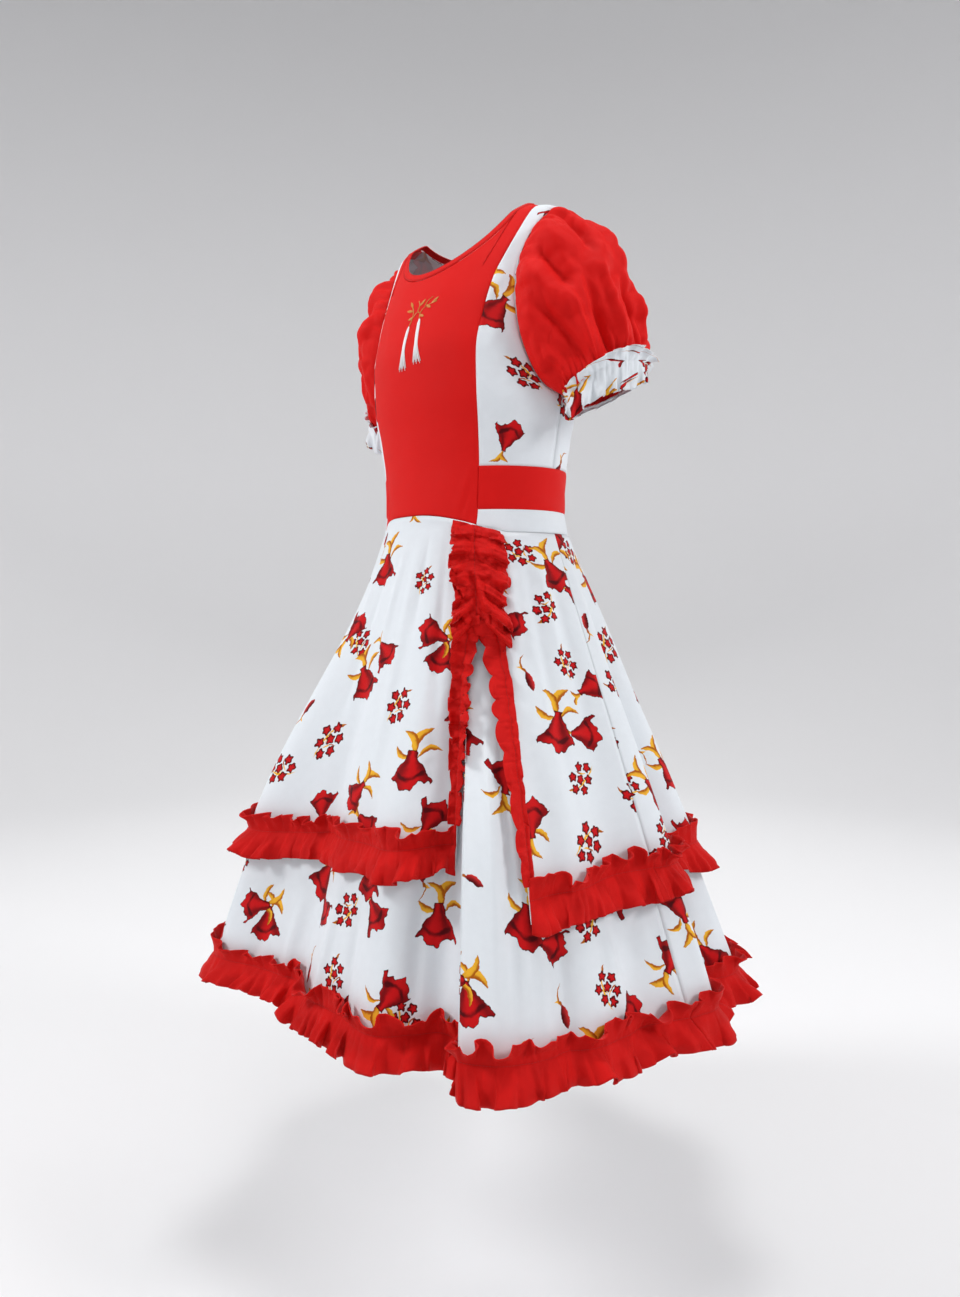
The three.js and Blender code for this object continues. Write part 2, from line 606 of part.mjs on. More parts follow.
// A gathered strip sewn on the lower edge of a skirt: one fold to each column of the skirt.
const FRILL_WAVE = { top: 5, gather: 0.4, bottom: 9 };
function frill(points, normals, columns, bottomAt) {
  const lines = [
    { share: 0, wave: FRILL_WAVE.top },
    { share: FRILL_GATHER, wave: FRILL_WAVE.gather },
    { share: 1, wave: FRILL_WAVE.bottom },
  ];
  const grid = steps(2 * (columns.length - 1)).map((k) =>
    lines.map(({ share, wave }) => {
      const z = bottomAt(k / 2) + FRILL_HEIGHT * (1 - share);
      const { point, normal } = onSkirt(points, normals, columns, k / 2, z);
      return { point: point.addScaledVector(normal, CLOTH + LAY_GAP + (k % 2 ? wave : 0)), normal };
    }),
  );
  return clothWall(
    grid.map((column) => column.map((place) => place.point)),
    grid.map((column) => column.map((place) => place.normal)),
  );
}

// ---------------------------------------------------------------- frills of the split
// Each lies along an edge of the overskirt: `reach` on the panel, `past` beyond its edge.
const SPLIT_FRILLS = {
  front: { columns: [-1, -2, -3], top: -533, bottom: -752, reach: 14, past: 7, lowPast: 1 },
  side: { columns: [0, 1, 2], top: -533, bottom: -796, reach: 8, past: 18, lowPast: 4 },
};
const SPLIT_FRILL_ROWS = 12,
  SPLIT_LIFT = 0.8,
  SPLIT_WAVE = 4;

function splitFrill({ columns, top, bottom, reach, past, lowPast }) {
  const chosen = columns.map((i) => (i < 0 ? overskirtPoints.length + i : i));
  const placeAt = (place, z) => onSkirt(overskirtPoints, overskirtNormals, chosen, place, z);
  const grid = steps(SPLIT_FRILL_ROWS).map((row) => {
    const share = row / SPLIT_FRILL_ROWS;
    const z = lerp(top, bottom, share);
    const corners = [0, 1, 2].map((place) => placeAt(place, z).point);
    const width = corners[0].distanceTo(corners[1]);
    const inner = reach < width ? reach / width : 1 + (reach - width) / corners[1].distanceTo(corners[2]);
    const edge = placeAt(0, z);
    const panel = placeAt(inner, z);
    const wave = row % 2 ? SPLIT_WAVE : 0;
    const across = corners[0].clone().sub(corners[1]).normalize();
    const lift = (point, extra) => point.addScaledVector(edge.normal, CLOTH + LAY_GAP + SPLIT_LIFT + extra);
    return [
      lift(panel.point, wave),
      lift(edge.point.clone(), 0),
      lift(edge.point.clone().addScaledVector(across, lerp(past, lowPast, share)), wave),
    ];
  });
  return clothWall(grid, gridNormals(grid, false, fromAxis));
}

// The bunch that closes the split's top: a crumpled strip from the waist down.
const BUNCH = {
  from: 31.5,
  to: 60,
  top: -417.5,
  bottom: -531,
  columns: 8,
  rows: 4,
  lift: 0.9,
  puff: 8,
  wave: 5,
  atEnds: 0.4, // the part of the puff and the wave that its ends have
};
function bunch() {
  const grid = steps(BUNCH.columns).map((i) => {
    const across = i / BUNCH.columns;
    return steps(BUNCH.rows).map((j) => {
      const down = j / BUNCH.rows;
      const z = lerp(BUNCH.top, BUNCH.bottom, down);
      const p = skirtAt(lerp(BUNCH.from, BUNCH.to, across), z);
      const puff = BUNCH.puff * Math.sin(Math.PI * across) * lerp(BUNCH.atEnds, 1, Math.sin(Math.PI * down));
      const wave = i % 2 ? BUNCH.wave * lerp(BUNCH.atEnds, 1, down) : 0;
      return p.addScaledVector(fromAxis(p).normalize(), CLOTH + LAY_GAP + BUNCH.lift + puff + wave);
    });
  });
  return clothWall(grid, gridNormals(grid, false, fromAxis));
}

// ---------------------------------------------------------------- assembly
const dress = new THREE.Group();
const add = (name, geometry, material) => {
  const mesh = new THREE.Mesh(geometry, material);
  mesh.name = name;
  dress.add(mesh);
};

add("bodice_front_centre", frontCentrePanel(), RED);
for (const [name, make, material] of [
  ["side_front", sideFrontPanel, PRINT],
  ["back", backPanel, PRINT],
  ["sleeve", sleeve, RED],
  ["cuff_frill", cuffFrill, PRINT],
]) {
  const left = make();
  add(name + "_left", left, material);
  add(name + "_right", mirrored(left), material);
}
add("neck_binding", neckBinding(), RED);
add("belt", waistBand(BELT_TOP, () => WAIST), RED);
add("yoke", waistBand(WAIST, skirtSeam), WHITE);

const GORES = [
  { name: "front", from: -90, to: 90 },
  { name: "left", from: 42, to: 90 },
  { name: "back_left", from: 90, to: -180 },
  { name: "back_right", from: -180, to: -90 },
];
const UNDER_FRONT_END = 42;
for (const { name, from, to } of GORES) {
  const underColumns = columnsOf(SKIRT_ANGLES, from, name === "front" ? UNDER_FRONT_END : to);
  add("underskirt_" + name, gore(underskirtPoints, underskirtNormals, underColumns), PRINT);
  const hem = frill(underskirtPoints, underskirtNormals, underColumns, () => HEM_FRILL_BOTTOM);
  add("hem_frill_" + name, hem, RED);

  const first = { front: -90, left: SIDE_EDGE, back_left: 90 - 360, back_right: -180 }[name];
  const last = { front: FRONT_EDGE, left: 90 - 360, back_left: -180, back_right: -90 }[name];
  const overColumns = columnsOf(overskirtAngles, first, last);
  add("overskirt_" + name, gore(overskirtPoints, overskirtNormals, overColumns), PRINT);
  const edgeAt = (place) => {
    const i = Math.min(Math.floor(place), overColumns.length - 2);
    const [a, b] = [overColumns[i], overColumns[i + 1]].map((k) => overskirtEdge(overskirtAngles[k]));
    return lerp(a, b, place - i);
  };
  add("overskirt_frill_" + name, frill(overskirtPoints, overskirtNormals, overColumns, edgeAt), RED);
}
add("split_frill_front", splitFrill(SPLIT_FRILLS.front), RED);
add("split_frill_side", splitFrill(SPLIT_FRILLS.side), RED);
add("split_frill_top", bunch(), RED);

export default dress;
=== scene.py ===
"""The looks of a red and white folk dress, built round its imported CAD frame.

The tables and the shapes worked out from them are in millimetres, in the frame's own axes, and
`cloth` turns them into Blender's metres. The front faces -Y and +X is the wearer's left. Plan
angles are in degrees: 0 at the centre front, 90 at the wearer's left side, 180 at the back.
"""

import math

import bpy
import numpy as np
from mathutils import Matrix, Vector, noise


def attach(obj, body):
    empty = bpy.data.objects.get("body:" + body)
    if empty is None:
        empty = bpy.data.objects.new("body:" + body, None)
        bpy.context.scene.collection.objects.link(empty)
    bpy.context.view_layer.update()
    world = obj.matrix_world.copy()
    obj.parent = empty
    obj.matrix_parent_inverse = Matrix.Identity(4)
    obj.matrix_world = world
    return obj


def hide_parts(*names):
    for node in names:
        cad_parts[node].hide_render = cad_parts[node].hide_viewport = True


MM = 0.001


def table(columns, *rows):
    """A table of numbers as {column: array}."""
    return dict(zip(columns.split(), np.array(rows, float).T))


# ---------------------------------------------------------------- driving dimensions
CLOTH = 0.9  # thickness of the cloth
WALL = 1.5  # thickness that the frame's walls have
LAY_GAP = 0.5  # between two pieces of cloth
WIDEST = 155  # the bodice's laid places take this half width as a quarter turn
CUT_RADIUS = 370  # of the skirts' flat cut at the waist
CREASE_TAPER = 1.2  # how a crease dies out at its ends
PILLOW_MEAN = 0.3  # mean height of crumpled cloth's pillows, which is taken away

# Horizontal sections of the bodice.
TORSO = table(
    "z half front back",
    (0, 97, 12, 12),
    (-4, 107, 20, 19),
    (-11, 125, 30, 28),
    (-20, 148, 40, 37),
    (-40, 151, 56, 54),
    (-84, 150, 84, 78),
    (-149, 149, 113, 98),
    (-200, 150, 125, 105),
    (-252, 152, 121, 104),
    (-300, 145, 112, 99),
    (-343, 138, 107.5, 97),
    (-396, 135, 107, 97),
    (-424, 139, 111, 101),
)
PRINCESS = table(
    "z x",
    (-11, 125),
    (-20, 123),
    (-42, 118),
    (-77, 110),
    (-110, 103),
    (-149, 100),
    (-200, 97),
    (-252, 96),
    (-300, 92),
    (-343, 89),
    (-396, 87),
    (-424, 87),
)
ARMHOLE = table(
    "z front back",
    (-20, 148, 148),
    (-40, 136, 140),
    (-66, 127.5, 132),
    (-97, 124, 130),
    (-132, 125.5, 130),
    (-168, 130, 132),
    (-200, 135.5, 137),
    (-226, 141.5, 142.5),
    (-244, 147.5, 148),
    (-252, 152, 152),
)
# Rows of the bodice from the belt up, at the princess seam, the side and the centre back.
BODICE_ROWS = table(
    "princess side back",
    (-343, -343, -343),
    (-300, -298, -306),
    (-258, -252, -270),
    (-236, -244, -244),
    (-211, -226, -218),
    (-185, -200, -192),
    (-158, -168, -166),
    (-130, -132, -140),
    (-101, -97, -114),
    (-72, -66, -88),
    (-40, -40, -63),
    (-11, -20, -41),
)
UNDERARM_ROW = 2
BELT_TOP, WAIST, FRONT_PANEL_BOTTOM, YOKE_BOTTOM = -343, -396, -415, -424
FRONT_SEAM_RISE = 15  # of the front panel's lower edge, from the princess seams to the middle
FRONT_SEAM_POWER = {"right": 6, "left": 2}  # how late that edge falls on each side
NECK_EDGE = {"shoulder": 0, "front": 84, "back": 32}
NECK_SEAM = {"shoulder": -4, "front": 89, "back": 37}
SCOOP_POWER = 1.2
FRONT_NECK_TURNS = (0, 24, 47, 67, 82, 90)
BACK_NECK_TURNS = (0, 20, 40, 62, 80, 90)
SHOULDER_STEPS = (-4, -11, -20)
SIDE_FRONT_ANGLES = (54, 62, 76, 90)
BACK_ANGLES = (90, 103, 116, 129, 142, 155, 168, 180)

# Sections of the left sleeve from the armhole to the elastic, by their highest, foremost,
# lowest and rearmost points.
SLEEVE = table(
    "t top_x top_y top_z front_x front_y front_z under_x under_y under_z back_x back_y back_z",
    (0, 148, 0, -20, 126, -58, -130, 152, 0, -252, 130, 64, -130),
    (0.1, 163, 4, -24, 138, -66, -130, 158, 1, -256, 142, 77, -130),
    (0.26, 181, 10, -38, 154, -70, -138, 163, 3, -259, 160, 88, -136),
    (0.46, 203, 22, -72, 172, -62, -158, 167, 8, -261, 180, 93, -156),
    (0.66, 219, 34, -124, 186, -46, -186, 168, 13, -262, 196, 88, -182),
    (0.82, 229, 42, -172, 194, -30, -212, 167, 17, -263, 206, 79, -206),
    (0.93, 234, 44, -202, 199, -20, -232, 165, 18, -264, 208, 72, -226),
    (1, 236, 41, -218, 201, -17, -245, 164, 12, -270, 206, 67, -240),
)
ARMHOLE_STOPS = 18  # points of the armhole that the sleeve's sections are matched at
CUFF = {
    "grid": (340, 24),
    "start": 0.935,  # part of the sleeve's length at which the frill begins
    "lift": 2.4,  # of its upper edge off the sleeve
    "clear": 0.6,  # of its gathering line off the elastic
    "drop": 5,  # of its lower edge below the elastic at the back of the arm
    "front_drop": 33,  # how much more it drops in the direction `front`
    "front": (0.6, -0.8, 0),
    "slant": 0.1,  # how much the drop follows the arm
    "spread": -1.0,
    "print": 1.5,  # the print lies closer on the gathered cloth
}
CUFF_FOLDS = {"gather": 0.42, "lean": (52, 20), "spacing": (13, 24), "crumple": 0.6, "small": 0.08}

# Skirts: a cone that grows from the waist to the hem, with folds.
SKIRT_TOP = {"z": -415, "half": 136.5, "front": 108.5, "back": 99.5}
SKIRT_HEM = {"z": -1000, "half": 348, "front": 288, "back": 338}
FRONT_WAIST_ANGLE, SIDE_WAIST_ANGLE = 46.7, 62
# The main folds: plan angle, width in degrees on either side, and how far they stand out.
FOLDS = table(
    "at left right depth",
    (-153, 9, 9, 20),
    (-135, 8, 8, -15),
    (-117, 9, 8, 18),
    (-99, 8, 9, -10),
    (-81, 8, 8, 12),
    (-63, 8, 8, -12),
    (-36, 11, 9, 56),
    (-12, 7, 8, -17),
    (23, 8, 7, 20),
    (37.5, 5, 4, -15),
    (67, 5, 6, 10),
    (81, 8, 8, -12),
    (97, 9, 5, 16),
    (105.5, 4.5, 5.5, -30),
    (117, 7, 9, 17),
    (135, 8, 8, -14),
    (157, 9, 9, 21),
    (180, 9, 9, -13),
)
FOLD_START, FOLD_FULL = -440, -800
# The underskirt's fold that stands out in the split.
SPLIT_FOLD = {"at": 42, "right": 18, "depth": 42, "square": 4, "start": -560, "full": -800}
# Plan angles of the overskirt's two edges at the split.
SPLIT_EDGES = table(
    "z front side",
    (-400, 46, 48.5),
    (-455, 45, 50.5),
    (-520, 42.8, 53),
    (-600, 40, 55.4),
    (-860, 39.6, 56.2),
)
# The overskirt's lower edge.
OVERSKIRT_EDGE = table(
    "angle z",
    (-302, -853),
    (-270, -844),
    (-180, -842),
    (-90, -842),
    (-31, -837),
    (-8, -824),
    (20, -818),
    (42, -811),
)
FRILL_HEIGHT, FRILL_GATHER = 53, 0.4
HEM_FRILL_BOTTOM, HEM_REACH = -999, 12
# The underskirt's room under the overskirt, and the heights between which it grows.
SKIRT_SPACE = {"clear": 0.6, "waist": 0.9, "full": 7, "from": -424, "to": -600}

# The camera: 45 degrees to the wearer's left, level, at the height of the waist.
CAMERA = {"azimuth": 45, "distance": 1.22, "z": -0.507, "lens": 33.75, "sensor": 36}
PHOTO = {"width": 960, "height": 1297, "horizon": 600, "axis": 475}
FLOOR = -1.36  # in metres


# ---------------------------------------------------------------- curves and grids
def curve(rows, key, value):
    """A smooth curve through two columns of a table that never overshoots them."""
    order = np.argsort(rows[key])
    x, y = rows[key][order], rows[value][order]
    slope = np.diff(y) / np.diff(x)
    before, after = np.r_[slope[0], slope], np.r_[slope, slope[-1]]
    same = before * after > 0
    tangent = np.where(same, 2 * before * after / np.where(same, before + after, 1), 0)

    def at(place):
        t = np.clip(place, x[0], x[-1])
        i = np.clip(np.searchsorted(x, t) - 1, 0, len(x) - 2)
        width = x[i + 1] - x[i]
        s = (t - x[i]) / width
        s2, s3 = s * s, s * s * s
        return (
            (2 * s3 - 3 * s2 + 1) * y[i]
            + (s3 - 2 * s2 + s) * width * tangent[i]
            + (3 * s2 - 2 * s3) * y[i + 1]
            + (s3 - s2) * width * tangent[i + 1]
        )

    return at


def line(rows, key, value):
    """Straight lines through two columns of a table."""
    order = np.argsort(rows[key])
    return lambda place: np.interp(place, rows[key][order], rows[value][order])


def lerp(a, b, share):
    return a + (b - a) * share


def between(x, start, end):
    """How far x has come from start to end, from 0 to 1."""
    return np.clip((x - start) / (end - start), 0, 1)


def ease(x, start, end):
    t = between(x, start, end)
    return t * t * (3 - 2 * t)


def wrap(angle):
    """An angle in degrees as one from -180 to 180."""
    return (np.asarray(angle) + 540) % 360 - 180


def stack(x, y, z):
    return np.stack(np.broadcast_arrays(x, y, z), axis=-1).astype(float)


def length(v):
    return np.linalg.norm(v, axis=-1)


def unit(v):
    return v / np.maximum(length(v)[..., None], 1e-9)


def listed(values, share):
    """The value at a share of the way through a list."""
    values = np.asarray(values, float)
    return np.interp(np.asarray(share) * (len(values) - 1), np.arange(len(values)), values)


def shares(count, near_edge):
    """Parts of a panel's width, with more of them beside its two edges."""
    *low, first = 0, *near_edge
    inner = np.linspace(first, 1 - first, count)
    return np.unique(np.r_[low, inner, [1 - share for share in low]])


def normals_of(points, outward):
    """Normals of a grid, all turned to the side that `outward` is on."""
    normal = unit(np.cross(np.gradient(points, axis=0), np.gradient(points, axis=1)))
    return normal if (normal * outward).sum() > 0 else -normal


def from_axis(points):
    return points * (1, 1, 0)


def run(points, axis):
    """Distance along a grid's rows (axis 0) or columns (axis 1) from its first line."""
    step = length(np.diff(points, axis=axis))
    zero = np.zeros_like(np.take(step, [0], axis=axis))
    return np.cumsum(np.concatenate([zero, step], axis=axis), axis=axis)


def relief(u, v, creases):
    """Height of soft ridges and troughs, each a line from (u0, v0) to (u1, v1)."""
    total = np.zeros(np.broadcast(u, v).shape)
    for u0, v0, u1, v1, width, depth in creases:
        du, dv = u1 - u0, v1 - v0
        span = math.hypot(du, dv)
        along = np.clip(((u - u0) * du + (v - v0) * dv) / span**2, 0, 1)
        across = ((u - u0) * dv - (v - v0) * du) / span
        total += depth * np.exp(-((across / width) ** 2)) * np.sin(np.pi * along) ** CREASE_TAPER
    return total


def rough(points, scale, depth, seed):
    """Soft uneven height over a grid, of bumps about `scale` across."""
    flat = points.reshape(-1, 3) / scale + seed
    return depth * np.array([noise.noise(p) for p in flat]).reshape(points.shape[:-1])


def facets(points, size, depth, seed):
    """Pillows with sharp valleys between them, as crumpled cloth has."""
    heights = []
    for place in points.reshape(-1, 3) / size + seed:
        nearest_two = noise.voronoi(place)[0]
        heights.append(nearest_two[1] - nearest_two[0])
    return depth * (np.array(heights).reshape(points.shape[:-1]) - PILLOW_MEAN)


def worn(points, pillows, bumps=(), gain=1.0):
    """Height of used cloth, from rows of size, depth and seed."""
    total = 0
    for shape, rows in ((facets, pillows), (rough, bumps)):
        for size, depth, seed in rows:
            total = total + shape(points, size, depth * gain, seed)
    return total


# ---------------------------------------------------------------- cloth pieces
made = {}


def grid_faces(columns, rows, closed=False):
    """The corners of a grid's faces, column by column, in a ring if it is closed."""
    i, j = np.meshgrid(np.arange(columns - (not closed)), np.arange(rows - 1), indexing="ij")
    after = (i + 1) % columns
    faces = [i * rows + j, after * rows + j, after * rows + j + 1, i * rows + j + 1]
    return np.stack(faces, -1).reshape(-1, 4)


def linked(name, data):
    """A new object in the scene."""
    thing = bpy.data.objects.new(name, data)
    bpy.context.scene.collection.objects.link(thing)
    return thing


def mesh_piece(name, points, faces, *materials):
    """A smooth mesh in the scene, from points in metres."""
    mesh = bpy.data.meshes.new(name)
    mesh.from_pydata(points.tolist(), [], faces)
    mesh.polygons.foreach_set("use_smooth", np.ones(len(faces), bool))
    for material in materials:
        mesh.materials.append(material)
    return linked(name, mesh)


def cloth(name, points, uv, outside, inside, outward=None, closed=False):
    """A piece of cloth whose outer face is a grid of points. It stands for the node `name`."""
    columns, rows = points.shape[:2]
    outward = from_axis(points) if outward is None else outward
    normal = np.cross(np.gradient(points, axis=0), np.gradient(points, axis=1))
    quads, corners = grid_faces(columns, rows, closed), grid_faces(columns + closed, rows)
    if closed:
        uv = np.concatenate([uv, 2 * uv[-1:] - uv[-2:-1]])
    if (normal * outward).sum() < 0:
        quads, corners = quads[:, ::-1], corners[:, ::-1]
    piece = mesh_piece(name + "_cloth", points.reshape(-1, 3) * MM, quads.tolist(), outside, inside)
    layer = piece.data.uv_layers.new(name="cut")
    layer.data.foreach_set("uv", (uv.reshape(-1, 2)[corners.ravel()] * MM).ravel())
    solidify = piece.modifiers.new("thickness", "SOLIDIFY")
    solidify.thickness = CLOTH * MM
    solidify.offset = -1
    solidify.material_offset = 1
    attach(piece, "root")
    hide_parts(name)
    made[name] = (piece, points, closed)
    return piece


def declare(name, held, rests_on):
    """Works out the cut of a piece: its developed width and length, and its flat area. None of it is kept.
    """
    piece, points, closed = made[name]
    ring = np.concatenate([points, points[:1]]) if closed else points
    size = np.mean if held == "gathered" else np.max
    width, long = size(run(ring, 0)[-1]), size(run(ring, 1)[:, -1])
    a = np.cross(ring[1:, :-1] - ring[:-1, :-1], ring[1:, 1:] - ring[:-1, :-1])
    b = np.cross(ring[1:, 1:] - ring[:-1, :-1], ring[:-1, 1:] - ring[:-1, :-1])
    area = (length(a).sum() + length(b).sum()) / 2
    flat = (round(width * MM, 3), round(long * MM, 3))
    area = min(round(area * MM * MM, 4), flat[0] * flat[1])
    rests = [n + "_cloth" if n in made else n for n in rests_on]


def across_and_down(points):
    """Distances along a grid: across from its middle column, and down from its first row."""
    across = run(points, 0)
    return across - across[(len(across) - 1) // 2], run(points, 1).mean(axis=0, keepdims=True)


def rectangle(points):
    """Flat places of a straight panel."""
    across, down = across_and_down(points)
    return np.stack(np.broadcast_arrays(across, -down), axis=-1)


def sector(points):
    """Flat places of a flared skirt, which is cut as part of a ring."""
    across, down = across_and_down(points)
    radius = CUT_RADIUS + down
    turn = across / radius
    return np.stack([radius * np.sin(turn), CUT_RADIUS - radius * np.cos(turn)], axis=-1)


# ---------------------------------------------------------------- bodice
half_width = curve(TORSO, "z", "half")
torso_depth = {face: curve(TORSO, "z", face) for face in ("front", "back")}
princess_x = curve(PRINCESS, "z", "x")
armhole_x = {face: curve(ARMHOLE, "z", face) for face in ("front", "back")}


def torso(x, z, face):
    """Points of the bodice at distances from the middle, with their outward normals."""
    sign = -1 if face == "front" else 1
    half, depth = half_width(z), torso_depth[face](z)
    s = np.clip(x / half, -1, 1)
    c = np.sqrt(1 - s * s)
    dz = 0.5
    half_slope = (half_width(z + dz) - half_width(z - dz)) / (2 * dz)
    depth_slope = (torso_depth[face](z + dz) - torso_depth[face](z - dz)) / (2 * dz)
    rise = -(half * depth_slope * c * c + depth * half_slope * s * s)
    return stack(half * s, sign * depth * c, z), unit(stack(depth * s, sign * half * c, rise))


def x_at_angle(angle, z):
    """The distance from the middle at which the bodice has a plan angle."""
    depth = np.where(np.asarray(angle) < 90, torso_depth["front"](z), torso_depth["back"](z))
    s, c = np.sin(np.radians(angle)), np.cos(np.radians(angle))
    return s / np.hypot(s / half_width(z), c / depth)


def laid(x, z):
    """A place on the bodice as (turn, height)."""
    return np.stack(np.broadcast_arrays(np.arcsin(np.clip(x / WIDEST, -1, 1)), z), axis=-1)


def coons(left, right, bottom, top, u, v):
    """Places between four edges, which are lists of laid points."""
    s, t = u[:, None, None], v[None, :, None]
    corners = lerp(lerp(left[0], right[0], s), lerp(left[-1], right[-1], s), t)
    return lerp(left[None], right[None], s) + lerp(bottom[:, None], top[:, None], t) - corners


def scoop(neck, face, share):
    """Half of the neck's scoop, from the middle to the shoulder."""
    turns = np.radians(listed(FRONT_NECK_TURNS if face == "front" else BACK_NECK_TURNS, share))
    drop = neck[face] * np.maximum(np.cos(turns), 0) ** SCOOP_POWER
    return laid(half_width(neck["shoulder"]) * np.sin(turns), neck["shoulder"] - drop)


def shoulder(heights):
    return laid(half_width(heights), heights)


def scoop_and_shoulder(face, share, shoulder_heights):
    """A panel's upper edge from the middle: the scoop, and then the shoulder seam."""
    stops = len(FRONT_NECK_TURNS) - 1
    total = stops + len(shoulder_heights) - 1
    index = share * total
    scooped = scoop(NECK_SEAM, face, np.clip(index / stops, 0, 1))
    over = shoulder(listed(shoulder_heights, np.clip((index - stops) / (total - stops), 0, 1)))
    return np.where((index <= stops)[:, None], scooped, over)


def side_edge(face, share):
    heights = listed(BODICE_ROWS["side"], share)
    split = UNDERARM_ROW / (len(BODICE_ROWS["side"]) - 1)
    return laid(np.where(share < split, half_width(heights), armhole_x[face](heights)), heights)


def princess_edge(share, from_belt=False):
    heights = [*BODICE_ROWS["princess"]]
    if not from_belt:
        heights = [FRONT_PANEL_BOTTOM, WAIST, *heights]
    z = listed(heights, share)
    return laid(princess_x(z), z)


# Creases of the bodice, in mm across from the middle and up: (x, z) to (x, z), width, depth.
FRONT_CREASES = (
    (-28, -96, 6, -128, 7, -0.9),
    (30, -100, 60, -160, 10, 0.8),
    (-70, -120, -40, -190, 12, 0.9),
    (52, -180, 84, -262, 9, -0.8),
    (86, -330, 58, -412, 6, 1.0),
    (84, -352, 66, -414, 4, -0.9),
    (80, -378, 70, -414, 3, 0.9),
    (-86, -318, -62, -410, 6, -1.0),
    (-84, -360, -68, -414, 4, 0.9),
    (-20, -300, 24, -322, 9, 0.6),
    (10, -340, 60, -352, 8, -0.6),
    (-60, -344, -8, -332, 8, 0.6),
)
SIDE_CREASES = (
    (118, -110, 100, -182, 5, -0.9),
    (122, -150, 104, -224, 6, 0.9),
    (134, -196, 108, -262, 6, -1.1),
    (146, -236, 112, -282, 5, 1.1),
    (150, -256, 118, -306, 5, -1.0),
    (143, -300, 106, -330, 5, 0.8),
    (139, -318, 112, -341, 4, -0.7),
)
BACK_CREASES = (
    (20, -70, 96, -110, 9, 0.8),
    (128, -100, 90, -196, 7, -1.0),
    (132, -150, 84, -240, 8, 1.0),
    (144, -220, 92, -286, 7, -1.2),
    (150, -250, 100, -310, 6, 1.1),
    (60, -300, 128, -326, 7, -0.9),
    (18, -316, 84, -334, 6, 0.8),
    (12, -200, 22, -320, 7, -0.9),
    (40, -150, 64, -250, 10, 0.7),
)
SEAM_ROLL = {"depth": 0.8, "width": 1.6}  # how a panel turns in at a seam
CREASE_MARGIN = 12  # width over which creases fade in from a seam
PANEL_WEAR = (45, 0.7)  # size and height of a panel's unevenness
PANEL_GRID = {"front": (64, 96), "side": (26, 84), "back": (54, 84)}
PANEL_EDGE = (0.008, 0.018, 0.034)


def panel_shares(name):
    return [shares(count, PANEL_EDGE) for count in PANEL_GRID[name]]


def panel(grid, face, creases, seed):
    """Points of a bodice panel from its laid places, with its creases and rolled edges."""
    x, z = WIDEST * np.sin(grid[..., 0]), grid[..., 1]
    points, normals = torso(x, z, face)
    across, down = run(points, 0), run(points, 1)
    edge = np.minimum.reduce([across, across[-1] - across, down, down[:, -1:] - down])
    height = relief(x, z, creases) + rough(points, *PANEL_WEAR, seed)
    height = height * ease(edge, 0, CREASE_MARGIN)
    height -= SEAM_ROLL["depth"] * np.exp(-((edge / SEAM_ROLL["width"]) ** 2))
    return points + normals * height[..., None]


def mirrored(points):
    return points * (-1, 1, 1)


def front_seam(part):
    """The front panel's lower edge, from -1 at the right princess seam to 1 at the left."""
    power = np.where(part < 0, FRONT_SEAM_POWER["right"], FRONT_SEAM_POWER["left"])
    return FRONT_PANEL_BOTTOM + FRONT_SEAM_RISE * (1 - np.abs(part) ** power)


def front_centre():
    u, v = panel_shares("front")
    right = princess_edge(v)
    left = right * (-1, 1)
    across = 2 * u - 1
    top = scoop_and_shoulder("front", np.abs(across), SHOULDER_STEPS[:2])
    top = top * np.stack([np.sign(across), u**0], -1)
    bottom = laid(across * princess_x(FRONT_PANEL_BOTTOM), front_seam(across))
    return panel(coons(left, right, bottom, top, u, v), "front", FRONT_CREASES, seed=3)


def side_front():
    u, v = panel_shares("side")
    left, right = princess_edge(v, from_belt=True), side_edge("front", v)
    bottom_x = [princess_x(BELT_TOP), *(x_at_angle(a, BELT_TOP) for a in SIDE_FRONT_ANGLES)]
    bottom = laid(listed(bottom_x, u), BELT_TOP)
    top = shoulder(lerp(SHOULDER_STEPS[1], SHOULDER_STEPS[2], u))
    return panel(coons(left, right, bottom, top, u, v), "front", SIDE_CREASES, seed=5)


def back():
    u, v = panel_shares("back")
    z = listed(BODICE_ROWS["back"], v)
    left, right = laid(0 * z, z), side_edge("back", v)
    bottom_x = [x_at_angle(a, BELT_TOP) for a in BACK_ANGLES[::-1]]
    bottom = laid(listed(bottom_x, u), BELT_TOP)
    top = scoop_and_shoulder("back", u, SHOULDER_STEPS)
    return panel(coons(left, right, bottom, top, u, v), "back", BACK_CREASES, seed=7)


BINDING = {
    "columns": 150,
    "rows": (0, 0.04, 0.15, 0.35, 0.65, 0.85, 0.96, 1),
    "puff": 1.1,
    "sink": 0.3,  # of its two edges
    "stitched": (2, 5),  # the rows that carry stitches
}


def neck_ring(neck):
    """Points and normals all round an edge of the neck, from the right shoulder by the front."""
    share = np.linspace(0, 1, BINDING["columns"])
    front, rear = scoop(neck, "front", share), scoop(neck, "back", share)
    flip = (-1, 1)
    runs = (
        (front[::-1] * flip, "front"),
        (front[1:], "front"),
        (rear[::-1][1:], "back"),
        ((rear * flip)[1:-1], "back"),
    )
    placed = [torso(WIDEST * np.sin(part[:, 0]), part[:, 1], face) for part, face in runs]
    return [np.concatenate(parts) for parts in zip(*placed)]


def binding():
    (inner, inner_n), (outer, outer_n) = neck_ring(NECK_EDGE), neck_ring(NECK_SEAM)
    t = np.array(BINDING["rows"])[None, :, None]
    points = lerp(inner[:, None], outer[:, None], t)
    normals = unit(lerp(inner_n[:, None], outer_n[:, None], t))
    height = (1 - np.abs(2 * t - 1) ** 4) * BINDING["puff"] - BINDING["sink"]
    return points + normals * height


